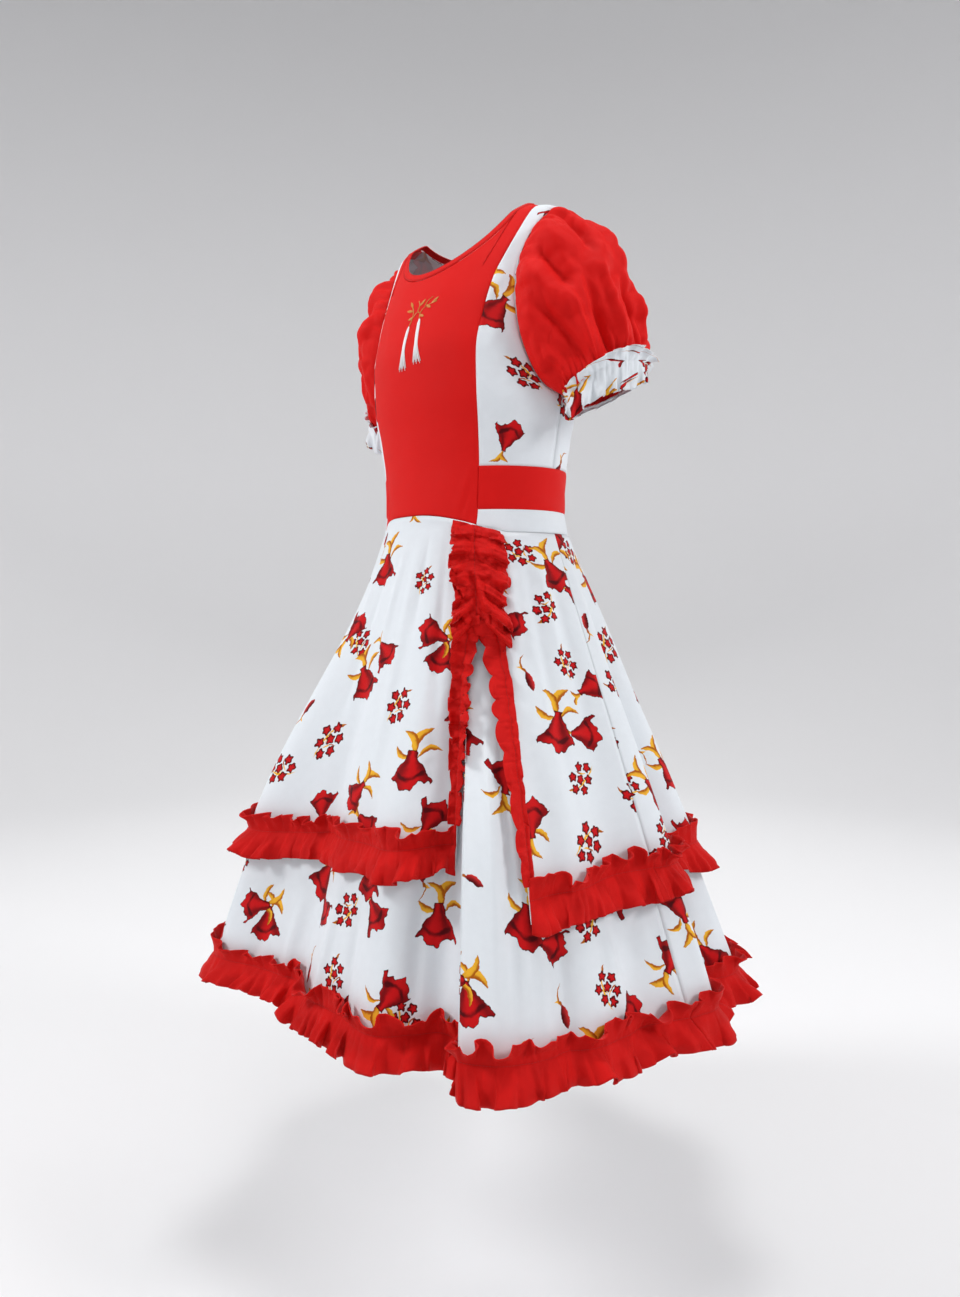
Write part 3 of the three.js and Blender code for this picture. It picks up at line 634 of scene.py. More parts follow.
def skirt_seam(angle):
    """Height of the seam between bodice and skirts."""
    turn = wrap(angle)
    front = front_seam(np.clip(turn / FRONT_WAIST_ANGLE, -1, 1))
    return lerp(front, YOKE_BOTTOM, between(np.abs(turn), FRONT_WAIST_ANGLE, SIDE_WAIST_ANGLE))


BELT_CREASES = (
    (60, -372, 96, -392, 4, 0.7),
    (98, -346, 120, -380, 5, -0.7),
    (150, -350, 172, -388, 6, 0.8),
    (200, -352, 190, -392, 6, -0.8),
    (236, -346, 262, -384, 5, 0.8),
    (280, -360, 300, -394, 4, -0.7),
)


BAND = {
    "columns": 220,
    "edge": (0.02, 0.05),  # rows beside its two edges, as parts of its width
    "blend": 5,  # degrees over which it leaves the princess seam's line
    "roll": 0.7,
    "wear": (30, 0.5),  # size and height of its unevenness
}
BELT_ROWS, YOKE_ROWS = 14, 9


def waist_band(top, bottom_at, rows, creases):
    """A band from princess seam to princess seam by way of the back."""
    start = FRONT_WAIST_ANGLE
    angle = np.linspace(start, 360 - start, BAND["columns"])[:, None]
    share = shares(rows, BAND["edge"])[None, :]
    z = lerp(bottom_at(angle), top, share)
    turn = np.where(angle > 180, 360 - angle, angle)
    x = lerp(princess_x(z), x_at_angle(turn, z), ease(turn, start, start + BAND["blend"]))
    before = (turn < 90)[..., None]
    points, normals = (np.where(before, *both) for both in zip(torso(x, z, "front"), torso(x, z, "back")))
    flip = np.where((angle > 180)[..., None], [-1, 1, 1], [1, 1, 1])
    points, normals = points * flip, normals * flip
    edge = np.minimum(share, 1 - share) * length(points[:, -1] - points[:, 0])[:, None]
    height = relief(angle + 0 * z, z, creases) + rough(points, *BAND["wear"], 11)
    height -= BAND["roll"] * np.exp(-((edge / SEAM_ROLL["width"]) ** 2))
    return points + normals * height[..., None]


# ---------------------------------------------------------------- sleeves
# Creases of the sleeve, in degrees round it (0 at the top, 90 in front) and hundredths down it.
SLEEVE_CREASES = (
    (8, 4, 20, 60, 6, -4.5),
    (30, 2, 44, 48, 7, 4.0),
    (52, 6, 60, 70, 6, -4.0),
    (74, 10, 78, 58, 8, 3.5),
    (-18, 3, -8, 70, 7, 4.0),
    (-40, 4, -30, 62, 6, -4.5),
    (-66, 6, -52, 74, 7, 4.0),
    (-90, 8, -84, 60, 8, -3.5),
    (96, 30, 80, 94, 6, -3.5),
    (60, 52, 70, 98, 5, 3.5),
    (38, 56, 48, 99, 5, -4.0),
    (16, 50, 26, 98, 5, 4.0),
    (-4, 60, 4, 99, 4, -4.0),
    (-26, 56, -16, 98, 5, 3.5),
    (-50, 60, -40, 99, 5, -4.0),
    (-76, 54, -66, 98, 6, 4.0),
    (-104, 50, -94, 98, 6, -3.5),
    (-130, 40, -120, 96, 7, 3.0),
    (124, 44, 110, 96, 7, 3.0),
)
SLEEVE_ROUND = 232
SLEEVE_ROWS = np.r_[0.006, 0.014, 0.024, np.linspace(0.036, 0.965, 80), 0.976, 0.987, 0.995, 1]
# The gathers at the armhole, round the turn `middle`, and at the elastic: their height and
# number, and the parts of the sleeve's length over which they grow and fade.
CAP = {"height": 7.0, "count": 30, "middle": -4, "wide": 88, "grow": (0, 0.03), "fade": (0.05, 0.42)}
ELASTIC = {"height": 5.0, "count": 40, "grow": (0.74, 0.95), "fade": (0.97, 1), "faded": 0.6}
SLEEVE_FOLDS = {"gain": 2.8, "grow": (0, 0.1)}
SLEEVE_WEAR = {"pillows": ((52, 11, 17), (24, 3.2, 5)), "bumps": ((30, 2.4, 19),)}
WEAR_GROW = (0, 0.2)
SLEEVE_SEAM = {"depth": 2.2, "length": 0.012}
UNDERARM = {"from": 130, "to": 175, "flat": 0.8}  # where the sleeve lies against the body
VALLEY = 0.8  # the lower, the sharper the valleys between two gathers
PUCKER = {"uneven": 0.3, "lowest": 0.4}  # how its pitch varies, and its least height


def sleeve_section(t, turn):
    """A point of the sleeve's smooth form."""

    def part(key):
        return stack(*(curve(SLEEVE, "t", f"{key}_{axis}")(t) for axis in "xyz"))

    c, s = np.cos(turn)[..., None], np.sin(turn)[..., None]
    top, front, under, rear = (part(key) for key in ("top", "front", "under", "back"))
    upright = (top + under) / 2 * c * c + (top - under) / 2 * c
    return upright + (front + rear) / 2 * s * s + (front - rear) / 2 * s


def armhole_point(share):
    """The armhole's seam: down before the arm from the shoulder point, and up behind it."""
    heights = BODICE_ROWS["side"][UNDERARM_ROW:][::-1]
    index = share * ARMHOLE_STOPS
    half = ARMHOLE_STOPS / 2
    down = np.interp(np.where(index <= half, index, 2 * half - index), np.arange(half + 1), heights)
    front, _ = torso(armhole_x["front"](down), down, "front")
    rear, _ = torso(armhole_x["back"](down), down, "back")
    return np.where((index <= half)[..., None], front, rear)


def sleeve_form(round_count, t):
    share = np.arange(round_count)[:, None] / round_count + 0 * t[None]
    turn, t = 2 * math.pi * share, t[None] + 0 * share
    first = sleeve_section(0 * t, turn)
    error = armhole_point(share) - first
    points = sleeve_section(t, turn) + error * ((1 - t) ** 3)[..., None]
    centre = points.mean(axis=0, keepdims=True)
    wrapped = np.concatenate([points[-1:], points, points[:1]])
    normal = unit(np.cross(np.gradient(wrapped, axis=0), np.gradient(wrapped, axis=1)))[1:-1]
    normal = normal if (normal * (points - centre)).sum() > 0 else -normal
    return points, normal, np.degrees(turn), t


def gathers(phase):
    """Folds from 0 to 1, with a sharp valley at every whole number."""
    return np.abs(np.sin(np.pi * phase)) ** VALLEY


def puckers(rng, share, count):
    """An uneven wave round a gathered edge."""
    stops = np.linspace(0, 1, count + 1)
    stops[1:-1] += rng.uniform(-PUCKER["uneven"], PUCKER["uneven"], count - 1) / count
    height = rng.uniform(PUCKER["lowest"], 1, count)
    phase = np.interp(share, stops, np.arange(count + 1))
    gain = np.interp(share, (stops[:-1] + stops[1:]) / 2, height, period=1)
    return gain * (gathers(phase) - 0.5)


def sleeve(rng):
    points, normals, turn, t = sleeve_form(SLEEVE_ROUND, SLEEVE_ROWS)
    share = turn / 360
    signed = np.where(turn > 180, turn - 360, turn)
    cap = CAP["height"] * np.exp(-(((signed - CAP["middle"]) / CAP["wide"]) ** 4))
    cap = cap * puckers(rng, share, CAP["count"]) * ease(t, *CAP["grow"]) * (1 - ease(t, *CAP["fade"]))
    end = ELASTIC["height"] * puckers(rng, share, ELASTIC["count"]) * ease(t, *ELASTIC["grow"])
    end = end * (1 - ELASTIC["faded"] * ease(t, *ELASTIC["fade"]))
    folds = SLEEVE_FOLDS["gain"] * relief(signed, t * 100, SLEEVE_CREASES) * ease(t, *SLEEVE_FOLDS["grow"])
    wear = worn(points, **SLEEVE_WEAR) * ease(t, *WEAR_GROW)
    seam = SLEEVE_SEAM["depth"] * np.exp(-t / SLEEVE_SEAM["length"])
    near_body = UNDERARM["flat"] * ease(np.abs(signed), UNDERARM["from"], UNDERARM["to"])
    height = (cap + end + folds + wear - seam) * (1 - near_body)
    return points + normals * height[..., None]


def cuff(rng):
    """The printed frill round the sleeve's elastic."""
    columns, rows = CUFF["grid"]
    gather = CUFF_FOLDS["gather"]
    form, normal, _, _ = sleeve_form(columns, np.array([CUFF["start"], 1 - 1e-3, 1]))
    axis = unit(form[:, 2].mean(axis=0) - form[:, 0].mean(axis=0))
    end, out = form[:, 2], normal[:, 2]
    above = form[:, 0] + normal[:, 0] * (WALL + CUFF["lift"])
    elastic = end + out * (WALL + CUFF["clear"])
    hang = unit(axis * CUFF["slant"] + np.array([0, 0, -1]))
    to_front = 0.5 + 0.5 * (out * CUFF["front"]).sum(axis=-1, keepdims=True)
    below = end + hang * (CUFF["drop"] + CUFF["front_drop"] * to_front) + out * CUFF["spread"]
    share = np.linspace(0, 1, rows)[None, :, None]
    upper = lerp(above[:, None], elastic[:, None], between(share, 0, gather))
    lower = lerp(elastic[:, None], below[:, None], between(share, gather, 1))
    base = np.where(share < gather, upper, lower)
    return ruffle(base, np.repeat(out[:, None], rows, axis=1), rng, closed=True, **CUFF_FOLDS)


# ---------------------------------------------------------------- ruffles
# How gathered strips fall: lengths in mm, angles in degrees, the rest in parts.
RUFFLE = {
    "lowest": -1.2,  # how far a strip may sink into its form, so that it stays off what it lies on
    "ends": 10,  # length over which the folds of a loose end fade
    "shift": 0.3,  # of the upper folds against the lower ones
    "gain_high": (0.35, 1.2),  # range of the folds' depths above the gathering line
    "gain_low": (0.45, 1.2),  # and below it
    "tilt": (-1.3, 1.3),  # how far a fold leans along the strip
    "round": 0.3,  # how much of a fold is round; the rest has sharp valleys
    "small_folds": 2.6,  # for each fold
    "rest": 3,  # lean of a flap between its folds
    "tuck": 14,  # by which the lower flap's edge turns back
    "drop_high": 0.3,  # how uneven the two edges are
    "drop_low": 0.14,
    "double": 0.07,  # sideways moves: twice in a fold, and with its tilt
    "leaning": 0.40,
    "pinch": 4.4,  # puckers at the gathering line, how far they reach, and their pitch
    "pinch_reach": 0.42,
    "pinch_pitch": 8,
    "pinch_least": 0.25,  # what is left of the puckers and of the wear at that line
    "wear_least": 0.15,
    "bend": 0.4,  # the lower, the nearer to that line a flap bends out
    "seam": 1.3,  # depth and width of the gathering line
}
RUFFLE_WEAR = {"pillows": ((20, 4.6, 11),), "bumps": ((9, 1.2, 7),)}


def ruffle(base, normals, rng, gather, lean, spacing, closed=False, sway=1.0, crumple=1.0, small=0.3):
    """Gathers a strip that lies on a form. It is pinched along its gathering line, and its two
    flaps lean out from there by up to `lean` degrees (above, below) in uneven folds."""
    ring = np.concatenate([base, base[:1]]) if closed else base
    count, rows = base.shape[:2]
    middle = int(round(gather * (rows - 1)))
    arc = run(ring, 0)[:, middle]
    total, arc = arc[-1], arc[:count]
    along, down = (unit(np.gradient(base, axis=axis)) for axis in (0, 1))
    away = run(base, 1)
    away = away - away[:, [middle]]
    high = away < 0
    free = np.abs(away) / np.where(high, -away[:, [0]], away[:, [-1]])
    ends = 1.0 if closed else ease(np.minimum(arc, total - arc), 0, RUFFLE["ends"])[:, None]

    stops = [0.0]
    while stops[-1] < total:
        stops.append(stops[-1] + rng.uniform(*spacing))
    low_stops = np.array(stops) * total / stops[-1]
    folds = len(low_stops) - 1
    high_stops = low_stops.copy()
    high_stops[1:-1] += rng.uniform(-RUFFLE["shift"], RUFFLE["shift"], folds - 1) * spacing[0]
    middles = (low_stops[:-1] + low_stops[1:]) / 2

    def each_fold(lowest, highest):
        values = rng.uniform(lowest, highest, folds)
        return np.interp(arc, middles, values, period=total if closed else None)[:, None]

    gain = np.where(high, each_fold(*RUFFLE["gain_high"]), each_fold(*RUFFLE["gain_low"]))
    edge_drop, tilt = each_fold(-1, 1), each_fold(*RUFFLE["tilt"])
    phases = [np.interp(arc, at, np.arange(folds + 1))[:, None] for at in (high_stops, low_stops)]
    phase = np.where(high, *phases)
    wave = lerp(gathers(phase), 0.5 - 0.5 * np.cos(2 * np.pi * phase), RUFFLE["round"])
    wrinkles = small * ends * gathers(phase * RUFFLE["small_folds"] + tilt)
    rest = RUFFLE["rest"] - np.where(high, 0, RUFFLE["tuck"] * free**2)
    angle = np.where(high, *lean) * gain * (wave + wrinkles) + rest
    angle = np.radians(angle) * free ** RUFFLE["bend"]
    uneven = free * ends * edge_drop * np.where(high, RUFFLE["drop_high"], RUFFLE["drop_low"])
    fall = away * (np.cos(angle) - 1 + uneven)
    side = RUFFLE["double"] * np.sin(4 * np.pi * phase) + RUFFLE["leaning"] * tilt * (wave - 0.5)
    side = side * sway * np.mean(spacing) * ends * free
    pinch = RUFFLE["pinch"] * np.exp(-((free / RUFFLE["pinch_reach"]) ** 2)) * (RUFFLE["pinch_least"] + free)
    pinch = pinch * puckers(rng, (arc / total)[:, None], int(total / RUFFLE["pinch_pitch"]))
    seam = RUFFLE["seam"] * np.exp(-((away / RUFFLE["seam"]) ** 2))
    wear = worn(base, **RUFFLE_WEAR, gain=crumple) * (RUFFLE["wear_least"] + free)
    height = np.maximum(np.abs(away) * np.sin(angle) + pinch - seam + wear, RUFFLE["lowest"])
    return base + normals * height[..., None] + along * side[..., None] + down * fall[..., None]


# ---------------------------------------------------------------- skirts
split_edge = {side: line(SPLIT_EDGES, "z", side) for side in ("front", "side")}
overskirt_edge = line(OVERSKIRT_EDGE, "angle", "z")


def folded(angle, z):
    total = np.zeros(np.broadcast(angle, z).shape)
    for at, left, right, depth in zip(*FOLDS.values()):
        away = wrap(angle - at)
        total += depth * np.exp(-((away / np.where(away < 0, left, right)) ** 2))
    return total * ease(-z, -FOLD_START, -FOLD_FULL)


def standing(angle, z):
    """How far the fold in the split stands out behind its sharp edge."""
    away = np.maximum(wrap(angle - SPLIT_FOLD["at"]), 0)
    out = SPLIT_FOLD["depth"] * np.exp(-((away / SPLIT_FOLD["right"]) ** SPLIT_FOLD["square"]))
    behind = wrap(angle) >= SPLIT_FOLD["at"]
    return behind * out * ease(-z, -SPLIT_FOLD["start"], -SPLIT_FOLD["full"])


def skirt_at(angle, z, inward=0, stand=None):
    """A point of the skirts' form, drawn in towards the body by `inward`."""
    share = np.maximum(SKIRT_TOP["z"] - z, 0) / (SKIRT_TOP["z"] - SKIRT_HEM["z"])
    s, c = np.sin(np.radians(angle)), np.cos(np.radians(angle))
    half = lerp(SKIRT_TOP["half"], SKIRT_HEM["half"], share)
    before = lerp(SKIRT_TOP["front"], SKIRT_HEM["front"], share)
    behind = lerp(SKIRT_TOP["back"], SKIRT_HEM["back"], share)
    radius = 1 / np.hypot(s / half, c / np.where(c > 0, before, behind))
    radius = radius + folded(angle, z) + (standing(angle, z) if stand is None else stand) - inward
    return stack(radius * s, -radius * c, z)


# Fine creases of both skirts, as (angle, z) to (angle, z), width in degrees and depth. They
# fall from the waist or run beside the main folds.
SKIRT_CREASES = (
    (-170, -424, -174, -640, 2.6, 2.2),
    (-161, -430, -163, -560, 2.2, -2.0),
    (-148, -424, -146, -700, 2.8, -2.4),
    (-139, -426, -141, -590, 2.2, 2.0),
    (-126, -424, -128, -760, 2.8, 2.6),
    (-112, -428, -109, -610, 2.4, -2.2),
    (-97, -424, -95, -700, 2.4, 2.4),
    (-86, -424, -88, -560, 2.2, -2.0),
    (-72, -424, -74, -720, 2.6, -2.4),
    (-58, -420, -60, -600, 2.2, 2.0),
    (-47, -416, -50, -740, 2.6, -2.2),
    (-30, -416, -27, -590, 2.4, 2.0),
    (-19, -416, -22, -700, 2.6, -2.6),
    (-3, -416, -5, -610, 2.4, 2.2),
    (8, -416, 9, -780, 2.8, 2.4),
    (15, -416, 15, -560, 2.0, -1.8),
    (28, -416, 31, -740, 2.2, -2.6),
    (36, -430, 35, -640, 2.0, 2.2),
    (62, -424, 60, -640, 2.2, 2.4),
    (69, -424, 72, -780, 2.2, -3.0),
    (75, -424, 77, -620, 2.2, 2.4),
    (81, -424, 84, -720, 2.6, -2.4),
    (94, -424, 96, -600, 2.4, 2.2),
    (104, -424, 103, -740, 2.8, -2.6),
    (119, -424, 121, -640, 2.6, 2.2),
    (128, -424, 126, -760, 2.8, -2.4),
    (143, -424, 146, -620, 2.4, 2.4),
    (152, -424, 150, -720, 2.4, -2.2),
    (168, -424, 170, -680, 2.8, 2.2),
)
# Creases of the lower part of the underskirt.
LOW_CREASES = (
    (-168, -820, -165, -990, 2.4, -4.0),
    (-145, -800, -143, -990, 2.2, 4.0),
    (-126, -830, -128, -990, 2.2, -4.5),
    (-107, -810, -109, -990, 2.0, 4.0),
    (-90, -840, -91, -990, 2.0, -3.5),
    (-72, -820, -70, -990, 2.0, 4.5),
    (-52, -830, -53, -990, 1.8, -5.0),
    (-44, -860, -43, -990, 1.2, 4.0),
    (-26, -840, -27, -990, 1.6, -4.0),
    (-18, -860, -17, -990, 1.4, 3.5),
    (2, -830, 1, -990, 1.8, 4.0),
    (12, -840, 13, -990, 1.6, -3.5),
    (31, -820, 30, -990, 1.6, -4.0),
    (48, -600, 48.5, -990, 1.2, 4.5),
    (52, -640, 53, -990, 1.3, -7.0),
    (57, -700, 58.5, -990, 1.2, 5.0),
    (63, -830, 62, -990, 1.4, -4.0),
    (75, -830, 76, -990, 1.8, 5.0),
    (97, -830, 96, -990, 2.0, 4.5),
    (106, -820, 107, -990, 2.0, -4.0),
    (124, -830, 123, -990, 2.2, 4.0),
    (146, -820, 147, -990, 2.2, 4.5),
    (169, -830, 171, -990, 2.4, 4.0),
)
CREASE_GAIN, LOW_CREASE_GAIN = 1.4, 1.15  # times the depths in the two tables
# The underskirt's columns from plan angle FOLD_FROM to FOLD_TO go round the fold in the split.
FOLD_COLUMNS = 16
FOLD_FROM, FOLD_TO = 41, 42
# The way round the fold in the split: parts of the way, plan angle, and part of its depth.
FOLD_PATH = table("way angle out", (0, 41, 0), (0.3, 43.4, 0), (0.5, 44, 0.3), (0.75, 43.2, 0.8), (1, 42, 1))


def creased(angle, z, low):
    """Height of the creases, with those of the underskirt's lower part if `low` is true."""
    turned = wrap(angle)
    height = CREASE_GAIN * relief(turned, z, SKIRT_CREASES)
    return height + (LOW_CREASE_GAIN * relief(turned, z, LOW_CREASES) if low else 0)


def inward_at(z):
    grown = ease(-z, -SKIRT_SPACE["from"], -SKIRT_SPACE["to"])
    return WALL + SKIRT_SPACE["clear"] + lerp(SKIRT_SPACE["waist"], SKIRT_SPACE["full"], grown)


def underskirt_at(place, z):
    """A point of the underskirt. `place` is a plan angle, but from FOLD_FROM to FOLD_TO it is
    the way round the fold that stands in the split."""
    way = between(place, FOLD_FROM, FOLD_TO)
    growth = ease(-z, -SPLIT_FOLD["start"], -SPLIT_FOLD["full"])
    turned = np.interp(way, FOLD_PATH["way"], FOLD_PATH["angle"])
    on_path = (place > FOLD_FROM) & (place < FOLD_TO)
    angle = np.where(on_path, lerp(place, turned, growth), place)
    out = SPLIT_FOLD["depth"] * np.interp(way, FOLD_PATH["way"], FOLD_PATH["out"]) * growth
    stand = np.where(place < FOLD_TO, np.where(place <= FOLD_FROM, 0, out), standing(place, z))
    return skirt_at(angle, z, inward_at(z) - creased(angle, z, True), stand)


def overskirt_at(angle, z):
    return skirt_at(angle, z, -creased(angle, z, False))


GORES = {
    # name: first and last plan angle of the underskirt, and of the overskirt
    "front": (-90, 42, -90, None),
    "left": (42, 90, None, -270),
    "back_left": (90, 180, -270, -180),
    "back_right": (180, 270, -180, -90),
}
SKIRT_STEP = 0.95  # degrees between a skirt's columns
ROW_STEP = 6.0
OVER_HIGH, OVER_LOW = -420.0, -840.0  # where the overskirt's seam and its lower edge are looked up


def under_columns(name, step):
    """Plan angles of a gore's columns. Those that go round the fold stop short of its end."""
    first, last = GORES[name][:2]
    stop = FOLD_FROM if last == FOLD_TO else last
    columns = np.linspace(first, stop, int((stop - first) / step) + 1)
    if last == FOLD_TO:
        round_fold = int(FOLD_COLUMNS * SKIRT_STEP / step)
        columns = np.r_[columns[:-1], np.linspace(FOLD_FROM, FOLD_TO - 1e-6, round_fold)]
    return columns[:, None]


def over_angle(name, share, z):
    """Plan angle in a gore of the overskirt, whose outer columns follow the split's edges."""
    first, last = GORES[name][2:]
    first = split_edge["side"](z) - 360 if first is None else first
    last = split_edge["front"](z) if last is None else last
    return lerp(first, last, share)


def over_shares(name, step):
    ends = over_angle(name, np.array([0, 1]), OVER_LOW)
    return np.linspace(0, 1, int((ends[1] - ends[0]) / step) + 1)[:, None]


def underskirt(name):
    columns = under_columns(name, SKIRT_STEP)
    top, bottom = skirt_seam(columns) - LAY_GAP, HEM_FRILL_BOTTOM + HEM_REACH
    down = np.linspace(0, 1, int((top.max() - bottom) / ROW_STEP))[None, :]
    return underskirt_at(columns + 0 * down, lerp(top, bottom, down))


def overskirt(name):
    share = over_shares(name, SKIRT_STEP)
    top = skirt_seam(over_angle(name, share, OVER_HIGH)) - LAY_GAP
    bottom = overskirt_edge(over_angle(name, share, OVER_LOW)) + HEM_REACH
    down = np.linspace(0, 1, int((top.max() - bottom.min()) / ROW_STEP))[None, :]
    z = lerp(top, bottom, down)
    return overskirt_at(over_angle(name, share, z), z)


FRILL_STEP = 0.35
FRILL_ROWS = 26
HEM_CLEAR, OVER_CLEAR = 3, 2  # of a frill's form above its skirt's lower edge


def frill_rows(bottom):
    share = np.linspace(0, 1, FRILL_ROWS)[None, :]
    return bottom + FRILL_HEIGHT * (1 - share)


def hem_frill_base(name):
    columns = under_columns(name, FRILL_STEP)
    z = frill_rows(HEM_FRILL_BOTTOM + HEM_CLEAR + 0 * columns)
    return underskirt_at(columns + 0 * z, z)


def overskirt_frill_base(name):
    share = over_shares(name, FRILL_STEP)
    z = frill_rows(overskirt_edge(over_angle(name, share, OVER_LOW)) + OVER_CLEAR)
    return overskirt_at(over_angle(name, share, z), z)


TIERS = {
    # how each skirt's frill is gathered, in one run round the gores in this order
    "hem": {
        "base": hem_frill_base, "gores": ("front", "left", "back_left", "back_right"),
        "lift": 2, "folds": {"lean": (46, 36), "spacing": (30, 62), "small": 0.5, "closed": True},
    },
    "overskirt": {
        "base": overskirt_frill_base, "gores": ("left", "back_left", "back_right", "front"),
        "lift": 1.5, "folds": {"lean": (40, 30), "spacing": (26, 54), "small": 0.5, "closed": False},
    },
}


def tier(skirt, rng):
    """The frill of one skirt, as a strip for each gore. It is gathered first, and cut then."""
    spec = TIERS[skirt]
    bases = [spec["base"](name) for name in spec["gores"]]
    last = [] if spec["folds"]["closed"] else [bases[-1][-1:]]
    base = np.concatenate([strip[:-1] for strip in bases] + last)
    normals = soft_normals(base)
    base = base + normals * (LAY_GAP + spec["lift"])
    frill = ruffle(base, normals, rng, FRILL_GATHER, **spec["folds"])
    ring = np.concatenate([frill, frill[:1]])
    stops = np.cumsum([0] + [len(strip) - 1 for strip in bases])
    return {name: ring[start : stop + 1] for name, start, stop in zip(spec["gores"], stops, stops[1:])}


def soft_normals(base):
    """Outward normals of a form, evened out along it so that a frill passes its sharp folds."""
    plan = from_axis(base)
    return unit(normals_of(base, plan) + unit(plan))


# ---------------------------------------------------------------- frills of the split
SPLIT_GRID = (190, 22)
SPLIT_LIFT = 1.6
SPLIT_FRILLS = {
    # its two ends, how far it lies on the overskirt and how far past its edge at either end,
    # how wavy and how often its free edge is, and its folds
    "front": {
        "top": -524, "bottom": -758, "reach": (17, 11), "past": (13, 4), "scallop": (0.55, 13),
        "folds": {"lean": (40, 30), "spacing": (18, 38), "sway": 1.2},
    },
    "side": {
        "top": -524, "bottom": -806, "reach": (9, 7), "past": (23, 5), "scallop": (0.5, 9),
        "folds": {"lean": (16, 20), "spacing": (30, 64), "sway": 0.8},
    },
}


def split_gather(side):
    """Where the gathering line of a split frill runs, as a part of its width."""
    reach, past = SPLIT_FRILLS[side]["reach"][0], SPLIT_FRILLS[side]["past"][0]
    return reach / (reach + past)


def split_frill(side, rng):
    """A gathered strip along one edge of the overskirt, at the split."""
    spec = SPLIT_FRILLS[side]
    rows, columns = SPLIT_GRID
    z = np.linspace(spec["top"], spec["bottom"], rows)[:, None]
    share = np.linspace(0, 1, columns)[None, :]
    edge = split_edge[side](z)
    radius = length(skirt_at(edge, z)[..., :2])
    low = between(z, spec["top"], spec["bottom"])
    scallop, scallops = spec["scallop"]
    past = lerp(*spec["past"], low) * (1 + scallop * puckers(rng, low, scallops))
    offset = lerp(lerp(*spec["reach"], low), -past, share) * (-1 if side == "front" else 1)
    angle = edge + np.degrees(offset / radius)
    base = overskirt_at(angle, z + 0 * angle)
    normals = soft_normals(base)
    base = base + normals * (LAY_GAP + SPLIT_LIFT)
    return ruffle(base, normals, rng, split_gather(side), **spec["folds"])


# The bunched frill: its two plan angles at the waist and at its lower end, and its height.
BUNCH = {"grid": (150, 64), "top": (31.5, 60), "low": (36, 58), "middle": -534, "sides": -566}
BUNCH_FORM = {"under_seam": 1.5, "notch": 1.4, "narrowing": 2.2, "puff": 4, "lift": 2.6, "deepest": -3}
BUNCH_FOLDS = {"gather": 0.46, "lean": (36, 28), "spacing": (14, 34), "crumple": 1.1}
BUNCH_PILLOWS = ((23, 9, 4), (12, 3, 8))
# Folds of the gathered strip, in hundredths across it and down it.
BUNCH_CREASES = (
    (6, 10, 38, 30, 7, 4.5),
    (4, 42, 36, 52, 7, 5.0),
    (8, 76, 34, 84, 7, 4.5),
    (20, 22, 10, 60, 5, -3.0),
    (47, 0, 50, 44, 4, -4.5),
    (40, 40, 70, 96, 6, 6.5),
    (33, 44, 60, 98, 3.5, -5.0),
    (94, 8, 60, 30, 7, 5.0),
    (96, 40, 76, 60, 7, 5.0),
    (80, 20, 88, 92, 5, -4.0),
    (96, 70, 84, 98, 6, 5.0),
)


def bunch(rng):
    """The gathered strip that closes the top of the split, with a notch at its lower end."""
    rows, columns = BUNCH["grid"]
    form = BUNCH_FORM
    down, across = np.linspace(0, 1, rows)[:, None], np.linspace(0, 1, columns)[None, :]
    bottom = lerp(BUNCH["middle"], BUNCH["sides"], np.abs(2 * across - 1) ** form["notch"])
    top = skirt_seam(lerp(*BUNCH["top"], across)) - form["under_seam"]
    z = lerp(top, bottom, down)
    angle = lerp(lerp(*BUNCH["top"], across), lerp(*BUNCH["low"], across), down ** form["narrowing"])
    base = skirt_at(angle, z, stand=0 * z)
    normals = unit(from_axis(base))
    puff = form["puff"] * np.sin(np.pi * across) * np.sin(np.pi * down)
    pleats = relief(across * 100, down * 100, BUNCH_CREASES) + worn(base, BUNCH_PILLOWS)
    height = LAY_GAP + form["lift"] + puff + np.maximum(pleats, form["deepest"])
    return ruffle(base + normals * height[..., None], normals, rng, **BUNCH_FOLDS)


# ---------------------------------------------------------------- stitches and embroidery
THREAD_SIDES = 5


def thread(path, normals, radius):
    """Vertices and faces of a thread along a path, closed at both ends."""
    along = unit(np.gradient(path, axis=0))
    up = unit(normals)
    aside = unit(np.cross(along, up))
    turns = np.linspace(0, 2 * np.pi, THREAD_SIDES, endpoint=False)[None, :, None]
    rings = path[:, None] + radius * (np.cos(turns) * up[:, None] + np.sin(turns) * aside[:, None])
    faces = [tuple(range(THREAD_SIDES))[::-1]]
    for i in range(len(path) - 1):
        for k in range(THREAD_SIDES):
            a, b = i * THREAD_SIDES + k, i * THREAD_SIDES + (k + 1) % THREAD_SIDES
            faces.append((a, b, b + THREAD_SIDES, a + THREAD_SIDES))
    last = (len(path) - 1) * THREAD_SIDES
    faces.append(tuple(last + k for k in range(THREAD_SIDES)))
    return rings.reshape(-1, 3), faces


def threads(name, strands, radius, material):
    """One mesh of many threads, each a path with its normals."""
    vertices, faces, count = [], [], 0
    for path, normals in strands:
        points, quads = thread(path, normals, radius)
        vertices.append(points)
        faces += [tuple(count + v for v in face) for face in quads]
        count += len(points)
    piece = mesh_piece(name, np.concatenate(vertices) * MM, faces, material)
    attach(piece, "root")


STITCH = {"long": 2.4, "gap": 0.9, "rise": 0.49, "sunk": 0.175, "radius": 0.24, "steps": 3}


